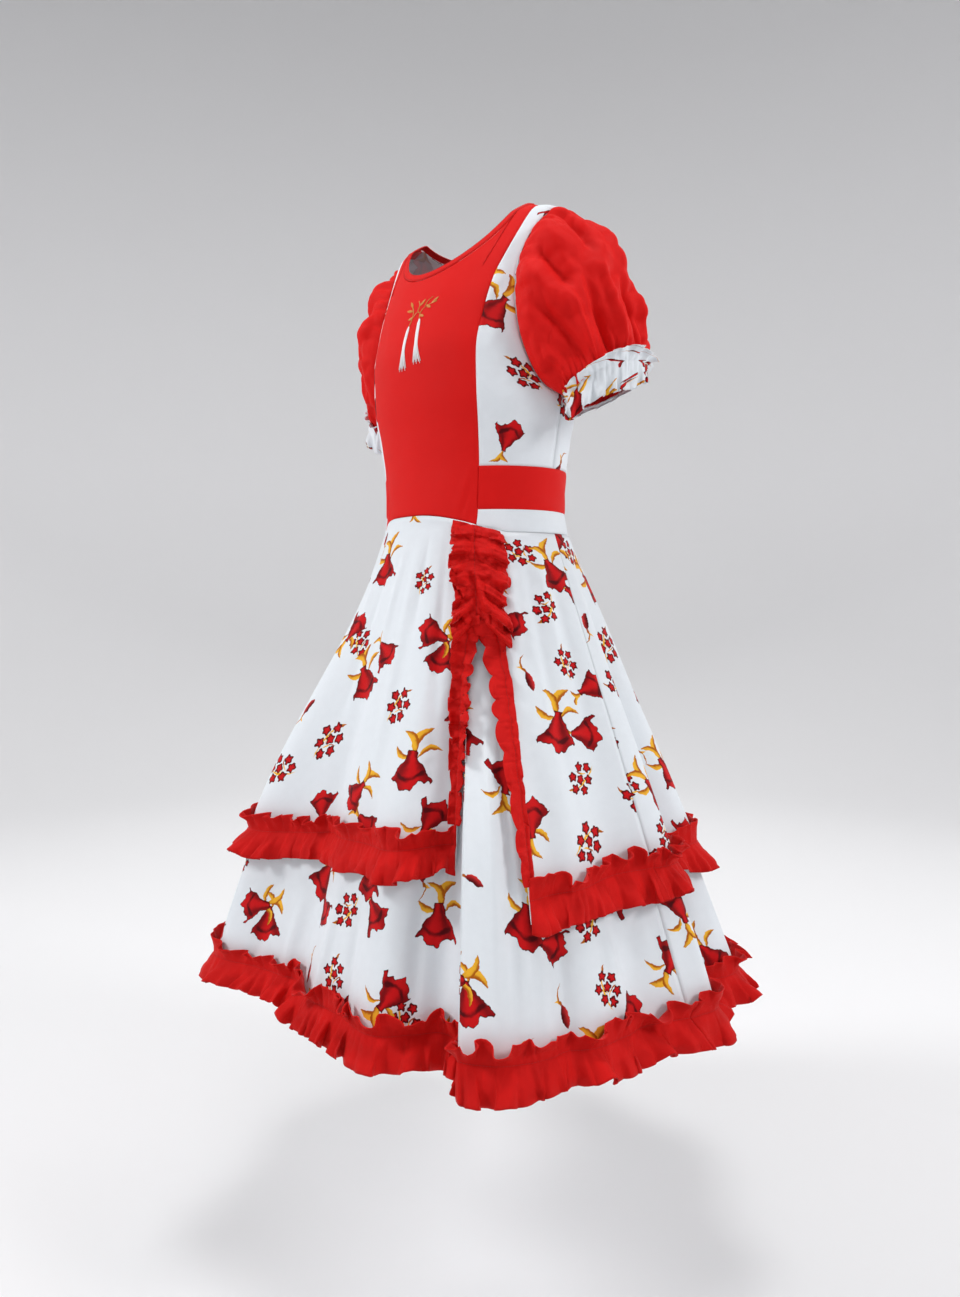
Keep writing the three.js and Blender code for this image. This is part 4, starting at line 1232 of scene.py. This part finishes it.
def stitched(row, normals):
    """Running stitches along a row of a piece's points."""
    arc = run(row[:, None], 0)[:, 0]
    pitch = STITCH["long"] + STITCH["gap"]
    share = np.linspace(0, 1, STITCH["steps"] + 1)
    places = np.arange(0, arc[-1] - pitch, pitch)[:, None] + share * STITCH["long"]
    paths, up = (
        np.stack([np.interp(places, arc, values[:, k]) for k in range(3)], -1)
        for values in (row, normals)
    )
    up = unit(up)
    lift = STITCH["rise"] * np.sin(np.pi * share) - STITCH["sunk"]
    return list(zip(paths + up * lift[None, :, None], up))


# The sprig on the front panel, in mm across and up: its gold twigs and leaves, and the two
# white bells that hang from it.
TWIGS = (
    ((-1, -162), (3, -150), (0, -139), (-7, -131)),
    ((16, -155), (13, -146), (20, -138), (38, -135)),
    ((3, -150), (9, -143), (13, -146)),
    ((9, -143), (10, -134), (5, -128)),
    ((20, -138), (22, -131), (29, -127)),
)
LEAVES = (
    # foot, tip and width
    ((-1, -141), (-13, -138), 3.2),
    ((-3, -135), (-11, -126), 3.0),
    ((10, -136), (17, -128), 3.0),
    ((22, -137), (30, -142), 3.2),
    ((30, -136), (39, -130), 3.0),
    ((3, -150), (-6, -152), 2.8),
    ((14, -149), (22, -152), 2.8),
)
BELLS = (((-1, -162), (-5, -219)), ((16, -155), (21, -214)))
BELL = {"strands": 11, "steps": 22, "long": 57, "ragged": 2.7, "curl": 2.5, "uneven": 0.8}
BELL_HALF = table("way half", (0, 1.2), (0.08, 2.0), (0.6, 2.3), (0.84, 4.6), (1, 6.6))
BELL_NECK = table("way part", (0, 0.6), (0.08, 1))
BELL_LIFT = {"edge": 0.35, "middle": 0.5}
SPRIG_THREAD = 0.42
SPRIG_LIFT = 0.3
NEAREST, NEAR_SOFT = 4, 0.2  # how a place on the panel is found from its grid
TWIG = {"apart": 0.35, "steps": 16}
LEAF = {"strands": 6, "steps": 9}


def on_panel(panel_points, places):
    """Points and normals on the front panel at places across and up."""
    x, z = places[:, 0], places[:, 1]
    flat = panel_points.reshape(-1, 3)
    normals = normals_of(panel_points, from_axis(panel_points)).reshape(-1, 3)
    near = np.hypot(flat[None, :, 0] - x[:, None], flat[None, :, 2] - z[:, None])
    order = np.argsort(near, axis=1)[:, :NEAREST]
    weight = 1 / (np.take_along_axis(near, order, 1) + NEAR_SOFT)
    weight = (weight / weight.sum(1, keepdims=True))[..., None]
    up = unit((normals[order] * weight).sum(1))
    offset = ((flat[order] - stack(x, 0 * x, z)[:, None]) * up[:, None]).sum(-1, keepdims=True)
    y = (offset * weight).sum(1)[:, 0] / up[:, 1]
    return stack(x, y, z), up


def smooth_path(corners, count):
    corners = np.array(corners, float)
    share = np.linspace(0, 1, len(corners))
    t = np.linspace(0, 1, count)
    path = np.stack([np.interp(t, share, corners[:, k]) for k in range(2)], -1)
    for _ in range(count // 4):
        path[1:-1] = (path[:-2] + path[2:]) / 2
    return path


def laid_thread(panel_points, path, lift):
    points, up = on_panel(panel_points, path)
    return points + up * lift, up


def sprig_gold(panel_points):
    strands = []
    for corners in TWIGS:
        path = smooth_path(corners, TWIG["steps"])
        for aside in (-TWIG["apart"], TWIG["apart"]):
            strands.append(laid_thread(panel_points, path + (aside, aside / 2), SPRIG_LIFT))
    t = np.linspace(0, 1, LEAF["steps"])[:, None]
    for foot, tip, wide in LEAVES:
        foot, tip = np.array(foot, float), np.array(tip, float)
        way = tip - foot
        aside = np.array([-way[1], way[0]]) / np.hypot(*way)
        for k in np.linspace(-1, 1, LEAF["strands"]):
            path = foot + way * t + aside * (k * wide / 2) * np.sin(np.pi * t)
            strands.append(laid_thread(panel_points, path, SPRIG_LIFT))
    return strands


def sprig_bells(panel_points, rng):
    strands = []
    t = np.linspace(0, 1, BELL["steps"])[:, None]
    half = line(BELL_HALF, "way", "half")(t) * line(BELL_NECK, "way", "part")(t)
    for top, bottom in BELLS:
        top, bottom = np.array(top, float), np.array(bottom, float)
        for k in np.linspace(-1, 1, BELL["strands"]):
            short = BELL["ragged"] * (1 - np.cos(BELL["curl"] * np.pi * k))
            short += rng.uniform(0, BELL["uneven"])
            way = (bottom - top) * (1 - short / BELL["long"])
            path = top + way * t + np.concatenate([k * half, 0 * t], -1)
            lift = BELL_LIFT["edge"] + BELL_LIFT["middle"] * (1 - k * k)
            strands.append(laid_thread(panel_points, path, lift))
    return strands


# ---------------------------------------------------------------- materials
def socket_value(tree, socket, value):
    if isinstance(value, Ink):
        tree.links.new(value.socket, socket)
    elif isinstance(value, bpy.types.NodeSocket):
        tree.links.new(value, socket)
    else:
        socket.default_value = value


def new_node(tree, kind, *values, **settings):
    """A node with its settings, and with its inputs filled in order."""
    node = tree.nodes.new("ShaderNode" + kind)
    for name, setting in settings.items():
        setattr(node, name, setting)
    for socket, value in zip(node.inputs, values):
        socket_value(tree, socket, value)
    return node


def fill(tree, node, inputs):
    """Sets or links a node's inputs by name."""
    for name, value in inputs.items():
        socket_value(tree, node.inputs[name], value)
    return node


class Ink:
    """A number in a material's nodes, so that a printed shape reads as a formula."""

    def __init__(self, tree, socket):
        self.tree, self.socket = tree, socket

    def of(self, operation, *values):
        return Ink(self.tree, new_node(self.tree, "Math", *values, operation=operation).outputs[0])

    def math(self, operation, *others):
        return self.of(operation, self, *others)

    def __add__(self, other):
        return self.math("ADD", other)

    def __sub__(self, other):
        return self.math("SUBTRACT", other)

    def __mul__(self, other):
        return self.math("MULTIPLY", other)

    def __truediv__(self, other):
        return self.math("DIVIDE", other)

    def __pow__(self, other):
        return self.math("POWER", other)

    def __rsub__(self, other):
        return self.of("SUBTRACT", other, self)

    __radd__, __rmul__ = __add__, __mul__

    def __abs__(self):
        return self.math("ABSOLUTE")

    def step(self, low, high):
        """0 below low, 1 above high, and smooth between them."""
        node = new_node(self.tree, "MapRange", self, low, high, interpolation_type="SMOOTHSTEP")
        return Ink(self.tree, node.outputs[0])


def least(first, *others):
    for other in others:
        first = first.math("MINIMUM", other)
    return first


def most(first, *others):
    for other in others:
        first = first.math("MAXIMUM", other)
    return first


def vector_node(tree, operation, *values):
    return new_node(tree, "VectorMath", *values, operation=operation)


def mix(tree, kind, factor, a, b):
    """A mix of two colours (RGBA) or vectors (VECTOR)."""
    node = new_node(tree, "Mix", factor, data_type=kind)
    first, output = (4, 1) if kind == "VECTOR" else (6, 2)
    socket_value(tree, node.inputs[first], a)
    socket_value(tree, node.inputs[first + 1], b)
    return node.outputs[output]


def split_vector(tree, vector):
    return [Ink(tree, socket) for socket in new_node(tree, "SeparateXYZ", vector).outputs]


# The print: places in a repeat, in centimetres, with the turn in degrees and the size.
REPEAT = (44, 40)
LILIES = (
    (0.5, 33.2, 12, 1.15),
    (42.1, 25.7, 150, 1.0),
    (4.3, 18.3, 32, 1.3),
    (13.6, 26.6, -80, 1.05),
    (18.9, 10.8, 14, 1.2),
    (10.7, 5.2, -30, 1.05),
    (33.7, 34.6, 20, 1.1),
    (29.2, 15.2, -12, 1.25),
    (23.7, 6.5, 165, 1.05),
    (23.0, 31.0, -24, 1.15),
)
PARTNERS = (
    (7.2, 22.4, 60, 1.05),
    (16.2, 24.4, 4, 1.1),
    (14.6, 2.4, 70, 1.0),
    (3.5, 2.6, 196, 0.95),
    (36.6, 32.0, 64, 1.0),
    (35.6, 20.2, 118, 1.0),
    (33.4, 14.6, 84, 1.1),
    (26.4, 28.4, 58, 0.95),
)
BERRIES = (
    (9.1, 32.4, 10, 0.75),
    (0.2, 23.4, 30, 0.85),
    (12.9, 17.0, -10, 1.0),
    (0.9, 10.7, -24, 1.05),
    (29.4, 37.2, 60, 0.85),
    (31.4, 30.2, 160, 0.9),
    (32.4, 23.2, 20, 0.85),
    (31.6, 9.4, 130, 0.9),
    (30.6, 2.6, -60, 1.05),
    (39.0, 7.0, 90, 1.0),
)
BUDS = (
    (26.8, 21.6, 12, 1.0),
    (39.6, 15.0, 150, 1.0),
    (20.6, 18.4, -30, 1.0),
    (17.4, 36.2, 60, 0.95),
    (41.0, 37.8, 200, 0.95),
)
# Slender shapes of a motif, in centimetres: foot, turn, length, width and bend.
BERRY_STEMS = (
    ((-0.3, -2.3), 86, 4.0, 0.13, 0.35),
    ((-0.1, -1.0), 34, 1.7, 0.1, 0.2),
    ((0.0, -0.5), 140, 1.8, 0.1, -0.2),
    ((0.2, 1.1), 60, 1.5, 0.17, 0.2),
)
BUD_STEM = ((0.0, 0.5), 70, 2.2, 0.10, 0.5)
BUD_BLADE = ((0.1, 0.4), 130, 1.3, 0.16, -0.3)
BUD = ((0.05, 0.8), -92, 2.0, 0.42, 0.1)
PARTNER_LEAVES = (((0.0, 1.5), 120, 2.0, 0.26, -0.5), ((0.1, 1.3), 55, 1.8, 0.24, 0.5))
LILY_LEAVES = (
    ((0.0, 1.3), 62, 2.7, 0.40, 0.7),
    ((0.1, 1.4), 128, 2.5, 0.32, -0.5),
    ((-0.1, 1.2), 158, 2.1, 0.28, 0.4),
    ((0.3, 1.0), 20, 2.2, 0.26, 0.6),
)
MOTIF = 1.14  # size of all the motifs
# Centimetres to a metre, the soft unevenness of the printed lines, and their soft edge.
PRINT = {"per_metre": 100, "wobble_rate": 1.6, "wobble": 0.45, "edge": 0.035}
FLORET = {"radius": 0.55, "petals": 5, "ripple": 0.16, "turn": 3, "soft": 0.8}
LEAF_ROUND = 0.7
# The bell flower, in centimetres.
LILY = {
    "sway": 0.18,
    "flare": (1.6, 2.5, 1.35),  # where it starts to widen, over what length and how far
    "neck": 0.38,
    "curl": (-1.1, 2.4, 0.30),  # how its rim turns out: height, rate and width
    "lobes": (2.1, 0.9, 0.42),  # rate, unevenness and depth of the mouth's lobes
    "frill": ((6.3, 2.0, 0.12), (11.0, 1.0, 0.05)),  # rate, part of the seed and depth
    "mouth": -1.35,
    "top": 1.75,
    "edge": (5.2, 0.07),
    "round": (2.02, 0.95, 0.15),  # the circle that rounds its corners: radius, squash and height
    "folds": (4.4, 3.3),
    "rim": (0.55, 0.25, 0.10, 3.0),  # height, lobes, bend and sharpness of its dark throat
    "throat": (0.7, 1.5),
    "shade": (-0.6, 1.6),
    "tone": {"fold": 0.26, "flat": 0.60, "throat": 0.55, "shade": 0.12},
    "outline": (0.02, 0.16),
}
FLORETS = ((0.1, 1.5), (1.2, 0.75), (-1.05, 0.7), (0.15, 0.2), (1.15, -0.75), (-0.8, -0.65), (0.2, -1.55))
WHITE = (1, 1, 1, 1)
CLOTH_WHITE = (0.78, 0.82, 0.86, 1)
# The colour follows the height of the cloth's bump. The crumple's part is an uneven tone, and also painted
# shade: the colour is darker in the hollows of the crumple and between the threads of the weave.
SHADE = {"crumple": 0.06, "weave": 0.03, "flat": 0.97}  # of every cloth's colour
GOLD, YELLOW = (0.42, 0.10, 0.004, 1), (0.88, 0.46, 0.03, 1)
WINE, FLOWER_RED = (0.085, 0.001, 0.003, 1), (0.60, 0.006, 0.008, 1)
BRIGHT_RED = (0.72, 0.030, 0.030, 1)


def nearest(tree, place, spots):
    """Local x and y, in centimetres, round the nearest of some spots of the repeat."""
    half = (REPEAT[0] / 2, REPEAT[1] / 2, 1)
    found = None
    for u, v, turn, size in spots:
        offset = vector_node(tree, "SUBTRACT", place, (u, v, 0)).outputs[0]
        local = vector_node(tree, "WRAP", offset, half, tuple(-h for h in half)).outputs[0]
        away = Ink(tree, vector_node(tree, "LENGTH", local).outputs["Value"])
        facts = (math.radians(turn), size * MOTIF, u)
        if found is None:
            found = (local, away, facts)
            continue
        closer = away.math("LESS_THAN", found[1])
        found = (
            mix(tree, "VECTOR", closer, found[0], local),
            least(away, found[1]),
            mix(tree, "VECTOR", closer, found[2], facts),
        )
    x, y, _ = split_vector(tree, found[0])
    turn, size, seed = split_vector(tree, found[2])
    c, s = turn.math("COSINE"), turn.math("SINE")
    return (x * c + y * s) / size, (y * c - x * s) / size, seed


def leaf(x, y, start, turn, long, wide, bend):
    """How deep a point lies in a slender leaf, and which side of its rib it is on."""
    c, s = math.cos(math.radians(turn)), math.sin(math.radians(turn))
    along = (x - start[0]) * c + (y - start[1]) * s
    room = along * (long - along) * (4 / long**2)
    across = (y - start[1]) * c - (x - start[0]) * s - room * bend
    return most(room, 0.0) ** LEAF_ROUND * wide - abs(across), across / wide


def lily(x, y, seed):
    """A hanging bell flower with a frilled mouth: how deep a point lies in it, and its tone."""
    sway = x + y * LILY["sway"] * (seed * 1.7).math("SINE")
    start, reach, wide = LILY["flare"]
    at, rate, curled = LILY["curl"]
    curl = (((y - at) * rate) ** 2 * -1).math("EXPONENT")
    half = (start - y).step(0.0, reach) * wide + LILY["neck"] + curl * curled
    rate, uneven, deep = LILY["lobes"]
    lobes = (sway * rate + (seed * 5.1).math("SINE") * uneven).math("COSINE")
    large, fine = ((sway * rate + seed * part).math("SINE") * tall for rate, part, tall in LILY["frill"])
    mouth = LILY["mouth"] - lobes * deep - (large + fine)
    rate, rough_edge = LILY["edge"]
    edge = (y * rate + seed).math("SINE") * rough_edge
    radius, squash, low = LILY["round"]
    round_off = radius - (sway * sway * squash + (y + low) * (y + low)).math("SQRT") + edge
    depth = least(half - abs(sway) + edge, y - mouth, LILY["top"] - y, round_off)
    rate, turn = LILY["folds"]
    fold = (sway / half * rate + (seed * turn).math("SINE")).math("COSINE")
    low, lobed, bend, sharp = LILY["rim"]
    rim = abs(y + low + lobes * lobed - sway * sway * bend) * sharp
    throat = (1 - rim.step(0.0, 1.0)) * (1 - abs(sway).step(*LILY["throat"]))
    parts = LILY["tone"]
    tone = fold * parts["fold"] + parts["flat"] - throat * parts["throat"]
    tone = tone + (0 - y).step(*LILY["shade"]) * parts["shade"]
    return depth, tone * depth.step(*LILY["outline"])


def florets(x, y, seed):
    """A cluster of small round florets: how deep a point lies in one, and its tone."""
    best = None
    radius = FLORET["radius"]
    for cx, cy in FLORETS:
        dx, dy = x - cx, y - cy
        away = (dx * dx + dy * dy).math("SQRT")
        angle = dy.math("ARCTAN2", dx)
        ripple = (angle * FLORET["petals"] + (seed + cx * FLORET["turn"])).math("COSINE")
        ripple = ripple * (radius * FLORET["ripple"])
        depth = radius + ripple - away
        best = depth if best is None else most(best, depth)
    return best, best.step(0.0, radius * FLORET["soft"])


def print_colour(tree, strength):
    """The flower print's colour, from the cloth's flat cut."""
    place = vector_node(tree, "SCALE", new_node(tree, "UVMap", uv_map="cut").outputs[0])
    place = fill(tree, place, {"Scale": PRINT["per_metre"]}).outputs[0]
    wobble = new_node(tree, "TexNoise")
    fill(tree, wobble, {"Vector": place, "Scale": PRINT["wobble_rate"], "Detail": 2})
    shift = vector_node(tree, "SUBTRACT", wobble.outputs["Color"], (0.5, 0.5, 0.5)).outputs[0]
    shift = vector_node(tree, "MULTIPLY", shift, (PRINT["wobble"], PRINT["wobble"], 0)).outputs[0]
    place = vector_node(tree, "ADD", place, shift).outputs[0]
    colour = mix(tree, "RGBA", 0.0, CLOTH_WHITE, CLOTH_WHITE)

    def lay(depth, tone, dark, light):
        nonlocal colour
        shade = mix(tree, "RGBA", tone.step(0.1, 0.9), dark, light)
        colour = mix(tree, "RGBA", depth.step(0.0, PRINT["edge"]) * strength, colour, shade)

    # Florets on their stems.
    x, y, seed = nearest(tree, place, BERRIES)
    stems = [leaf(x, y, *shape) for shape in BERRY_STEMS]
    lay(most(*(depth for depth, _ in stems)), stems[-1][1], GOLD, YELLOW)
    depth, tone = florets(x, y, seed)
    lay(depth, tone, WINE, FLOWER_RED)

    # Buds with a curved stem.
    x, y, seed = nearest(tree, place, BUDS)
    stem, side = leaf(x, y, *BUD_STEM)
    lay(most(stem, leaf(x, y, *BUD_BLADE)[0]), side, GOLD, YELLOW)
    depth, side = leaf(x, y, *BUD)
    lay(depth, side * 0.4 + 0.4, WINE, BRIGHT_RED)

    # Bell flowers on gold leaves, the partner flower under the first.
    for spots, leaves in ((PARTNERS, PARTNER_LEAVES), (LILIES, LILY_LEAVES)):
        x, y, seed = nearest(tree, place, spots)
        for shape in leaves:
            depth, side = leaf(x, y, *shape)
            lay(depth, side * 0.7 + depth * 1.2 + 0.30, GOLD, YELLOW)
        depth, tone = lily(x, y, seed)
        lay(depth, tone, WINE, FLOWER_RED)
    return colour


# The cloth's surface: pitch of its threads and depth of its bump in metres, and how often and how
# much it is crumpled.
WEAVE = {"pitch": 0.0007, "depth": 0.0004, "threads": 0.25, "crumple_rate": 90, "crumple": 1.5}


def weave_bump(tree, strength):
    """Fine plain weave, in the cloth's own flat cut, over a faint crumple."""
    cut = new_node(tree, "UVMap", uv_map="cut").outputs[0]
    x, y, _ = split_vector(tree, cut)
    rate = 2 * math.pi / WEAVE["pitch"]
    weave = (x * rate).math("SINE") * (y * rate).math("SINE")
    noise_node = new_node(tree, "TexNoise")
    fill(tree, noise_node, {"Vector": cut, "Scale": WEAVE["crumple_rate"], "Detail": 4})
    crumple = Ink(tree, noise_node.outputs[0])
    height = weave * WEAVE["threads"] + crumple * WEAVE["crumple"]
    bump = new_node(tree, "Bump")
    fill(tree, bump, {"Strength": strength, "Distance": WEAVE["depth"], "Height": height})
    return bump.outputs[0], weave, crumple


def new_material(name):
    material = bpy.data.materials.new(name)
    material.use_nodes = True
    return material, material.node_tree, material.node_tree.nodes["Principled BSDF"]


def fabric(name, colour=None, ink=0.0, roughness=0.7, sheen=0.12, tint=WHITE, bump=0.5, shine=0.15):
    """A woven cloth, of a plain colour or with the flower print."""
    material, tree, shader = new_material(name)
    normal, weave, crumple = weave_bump(tree, bump)
    base = print_colour(tree, ink) if ink else colour[:3]
    # Painted shade: the colour is darker where the bump's crumple and weave are low.
    shade = crumple * SHADE["crumple"] + weave * SHADE["weave"] + SHADE["flat"]
    shaded = fill(tree, vector_node(tree, "SCALE", base), {"Scale": shade}).outputs[0]
    inputs = {
        "Base Color": shaded,
        "Normal": normal,
        "Roughness": roughness,
        "Sheen Weight": sheen,
        "Sheen Roughness": 0.4,
        "Sheen Tint": tint,
        "Specular IOR Level": shine,
    }
    fill(tree, shader, inputs)
    return material


def plain(name, colour, roughness):
    material, tree, shader = new_material(name)
    fill(tree, shader, {"Base Color": colour, "Roughness": roughness})
    return material


# ---------------------------------------------------------------- scene
def camera():
    data = bpy.data.cameras.new("camera")
    data.sensor_fit = "HORIZONTAL"
    data.sensor_width = CAMERA["sensor"]
    data.lens = CAMERA["lens"]
    data.shift_x = (PHOTO["width"] / 2 - PHOTO["axis"]) / PHOTO["width"]
    data.shift_y = (PHOTO["horizon"] - PHOTO["height"] / 2) / PHOTO["width"]
    viewer = linked("camera", data)
    turn = math.radians(CAMERA["azimuth"])
    away = CAMERA["distance"]
    viewer.location = (away * math.sin(turn), -away * math.cos(turn), CAMERA["z"])
    viewer.rotation_euler = (math.radians(90), 0, turn)
    bpy.context.scene.camera = viewer


STUDIO = {"radius": 4.5, "rim": 1.6, "height": 7.0, "around": 96, "bend": 14, "light": 0.24}
PAPER = (0.85, 0.85, 0.86, 1)
LIGHTS = (
    # place, size and power of each soft light, which faces the middle of the dress
    ((-1.6, -2.4, 1.3), 0.8, 56),
    ((2.6, 0.7, 1.0), 0.8, 34),
    ((0.3, -0.2, 2.4), 0.9, 32),
    ((-2.2, 2.2, 1.0), 0.9, 24),
    ((1.0, 2.8, 0.6), 0.9, 11),
)
AIM = (0, 0, -0.5)


def studio():
    """A plain pale floor that curves up into a backdrop all round, and soft lights."""
    radius, rim = STUDIO["radius"], STUDIO["rim"]
    bend = np.linspace(0, math.pi / 2, STUDIO["bend"])
    reach = np.r_[0, radius - rim + rim * np.sin(bend), radius]
    height = FLOOR + np.r_[0, rim - rim * np.cos(bend), STUDIO["height"]]
    turns = np.linspace(0, 2 * math.pi, STUDIO["around"], endpoint=False)[:, None]
    points = stack(reach * np.cos(turns), reach * np.sin(turns), height)
    faces = grid_faces(*points.shape[:2], closed=True).tolist()
    mesh_piece("studio", points.reshape(-1, 3), faces, plain("studio_paper", PAPER, 0.9))
    for place, size, power in LIGHTS:
        light = bpy.data.lights.new("soft", "AREA")
        light.size = size
        light.energy = power
        lamp = linked("soft", light)
        lamp.location = place
        lamp.rotation_euler = (Vector(AIM) - lamp.location).to_track_quat("-Z", "Y").to_euler()
    world = bpy.data.worlds.new("world")
    world.use_nodes = True
    background = world.node_tree.nodes["Background"]
    background.inputs[0].default_value = WHITE
    background.inputs[1].default_value = STUDIO["light"]
    bpy.context.scene.world = world
    bpy.context.scene.view_settings.view_transform = "Standard"


# ---------------------------------------------------------------- assembly
# Where each printed piece is cut from the cloth: its flat place is moved by this much. A mirrored
# piece is moved once more.
CUT = {
    "side_front": (35, 390),
    "back": (300, 150),
    "cuff_frill": (380, 200),
    "overskirt_front": (0, 0),
    "overskirt_left": (300, 0),
    "overskirt_back_left": (90, 250),
    "overskirt_back_right": (330, 120),
    "underskirt_front": (210, 375),
    "underskirt_left": (290, 360),
    "underskirt_back_left": (40, 90),
    "underskirt_back_right": (150, 300),
}
MIRROR_CUT = (130, 90)
RED_SHEEN = (1, 0.2, 0.15, 1)

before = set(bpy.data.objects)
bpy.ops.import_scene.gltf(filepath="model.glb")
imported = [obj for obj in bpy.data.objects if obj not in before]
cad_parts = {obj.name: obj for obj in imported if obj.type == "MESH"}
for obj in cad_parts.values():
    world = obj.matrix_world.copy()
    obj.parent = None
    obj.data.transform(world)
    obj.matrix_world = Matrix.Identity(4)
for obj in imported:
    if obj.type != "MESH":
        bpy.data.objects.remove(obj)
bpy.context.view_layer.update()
camera()
studio()

red = fabric("red_cloth", (0.69, 0.006, 0.005, 1), roughness=0.62, tint=RED_SHEEN, shine=0.12)
# The frills' red is a darker copy of the red cloth: painted shade for their gathers.
shaded_frill_red = fabric("red_frill", (0.62, 0.006, 0.005, 1), roughness=0.6, tint=RED_SHEEN, shine=0.12, bump=0.7)
red_inside = fabric("red_inside", (0.60, 0.008, 0.007, 1), roughness=0.75)
printed = fabric("printed_cloth", ink=1.0, roughness=0.65, sheen=0.04, shine=0.1)
printed_inside = fabric("printed_inside", ink=0.3, roughness=0.75, sheen=0.1)
white = fabric("white_cloth", CLOTH_WHITE, roughness=0.65, sheen=0.2)
FACES = {
    "red_cloth": (red, red_inside),
    "red_frill": (shaded_frill_red, red_inside),
    "printed_cloth": (printed, printed_inside),
    "white_cloth": (white, white),
}


def add(name, points, slot, uv=None, **options):
    uv = rectangle(points) if uv is None else uv
    cloth(name, points, uv, *FACES[slot], **options)


def both_sides(name, points, slot, uv=None, **options):
    """A piece of the wearer's left, and its mirror image on the right."""
    uv = rectangle(points) if uv is None else uv
    add(name + "_left", points, slot, uv, **options)
    if "outward" in options:
        options["outward"] = mirrored(options["outward"])
    add(name + "_right", mirrored(points), slot, uv * (-1, 1) + MIRROR_CUT, **options)


def both_tubes(name, points, slot, uv=None):
    outward = points - points.mean(axis=0, keepdims=True)
    both_sides(name, points, slot, uv, outward=outward, closed=True)


front = front_centre()
add("bodice_front_centre", front, "red_cloth")
points = side_front()
both_sides("side_front", points, "printed_cloth", CUT["side_front"] - rectangle(points))
points = back()
both_sides("back", points, "printed_cloth", rectangle(points) + CUT["back"])
ring = binding()
add("neck_binding", ring, "red_cloth", closed=True)
add("belt", waist_band(BELT_TOP, lambda angle: WAIST + 0 * angle, BELT_ROWS, BELT_CREASES), "red_cloth")
add("yoke", waist_band(WAIST, skirt_seam, YOKE_ROWS, ()), "white_cloth")

rng = np.random.default_rng(20)
frills = {skirt: tier(skirt, rng) for skirt in TIERS}
both_tubes("sleeve", sleeve(rng), "red_cloth")
points = cuff(rng)
both_tubes("cuff_frill", points, "printed_cloth", rectangle(points) * CUFF["print"] + CUT["cuff_frill"])

gather_line = {}
for name in GORES:
    for skirt, points in (("underskirt_", underskirt(name)), ("overskirt_", overskirt(name))):
        add(skirt + name, points, "printed_cloth", sector(points) + CUT[skirt + name])
    for skirt in TIERS:
        add(f"{skirt}_frill_{name}", frills[skirt][name], "red_frill")
        gather_line[f"{skirt}_frill_{name}"] = FRILL_GATHER
for side in SPLIT_FRILLS:
    add("split_frill_" + side, split_frill(side, rng), "red_frill")
    gather_line["split_frill_" + side] = split_gather(side)
add("split_frill_top", bunch(rng), "red_frill")
gather_line["split_frill_top"] = BUNCH_FOLDS["gather"]

gold_thread = plain("gold_thread", (0.62, 0.22, 0.02, 1), 0.4)
white_thread = plain("white_thread", (0.85, 0.86, 0.88, 1), 0.45)
red_thread = plain("red_thread", (0.42, 0.006, 0.006, 1), 0.5)
threads("embroidery_gold", sprig_gold(front), SPRIG_THREAD, gold_thread)
threads("embroidery_white", sprig_bells(front, rng), SPRIG_THREAD, white_thread)
rows = [("neck_binding", row) for row in BINDING["stitched"]]
rows += [(name, int(round(part * (made[name][1].shape[1] - 1)))) for name, part in gather_line.items()]
seams = []
for name, row in rows:
    points = made[name][1]
    seams += stitched(points[:, row], normals_of(points, from_axis(points))[:, row])
threads("stitches", seams, STITCH["radius"], red_thread)

for name in made:
    if "frill" in name:
        declare(name, "gathered", ["overskirt_front"] if "split" in name else [])
    elif "skirt" in name:
        declare(name, "hung", ["yoke", "bodice_front_centre"])
    elif "sleeve" in name:
        declare(name, "gathered", [name.replace("sleeve", "back")])
    else:
        declare(name, "stretched", [])
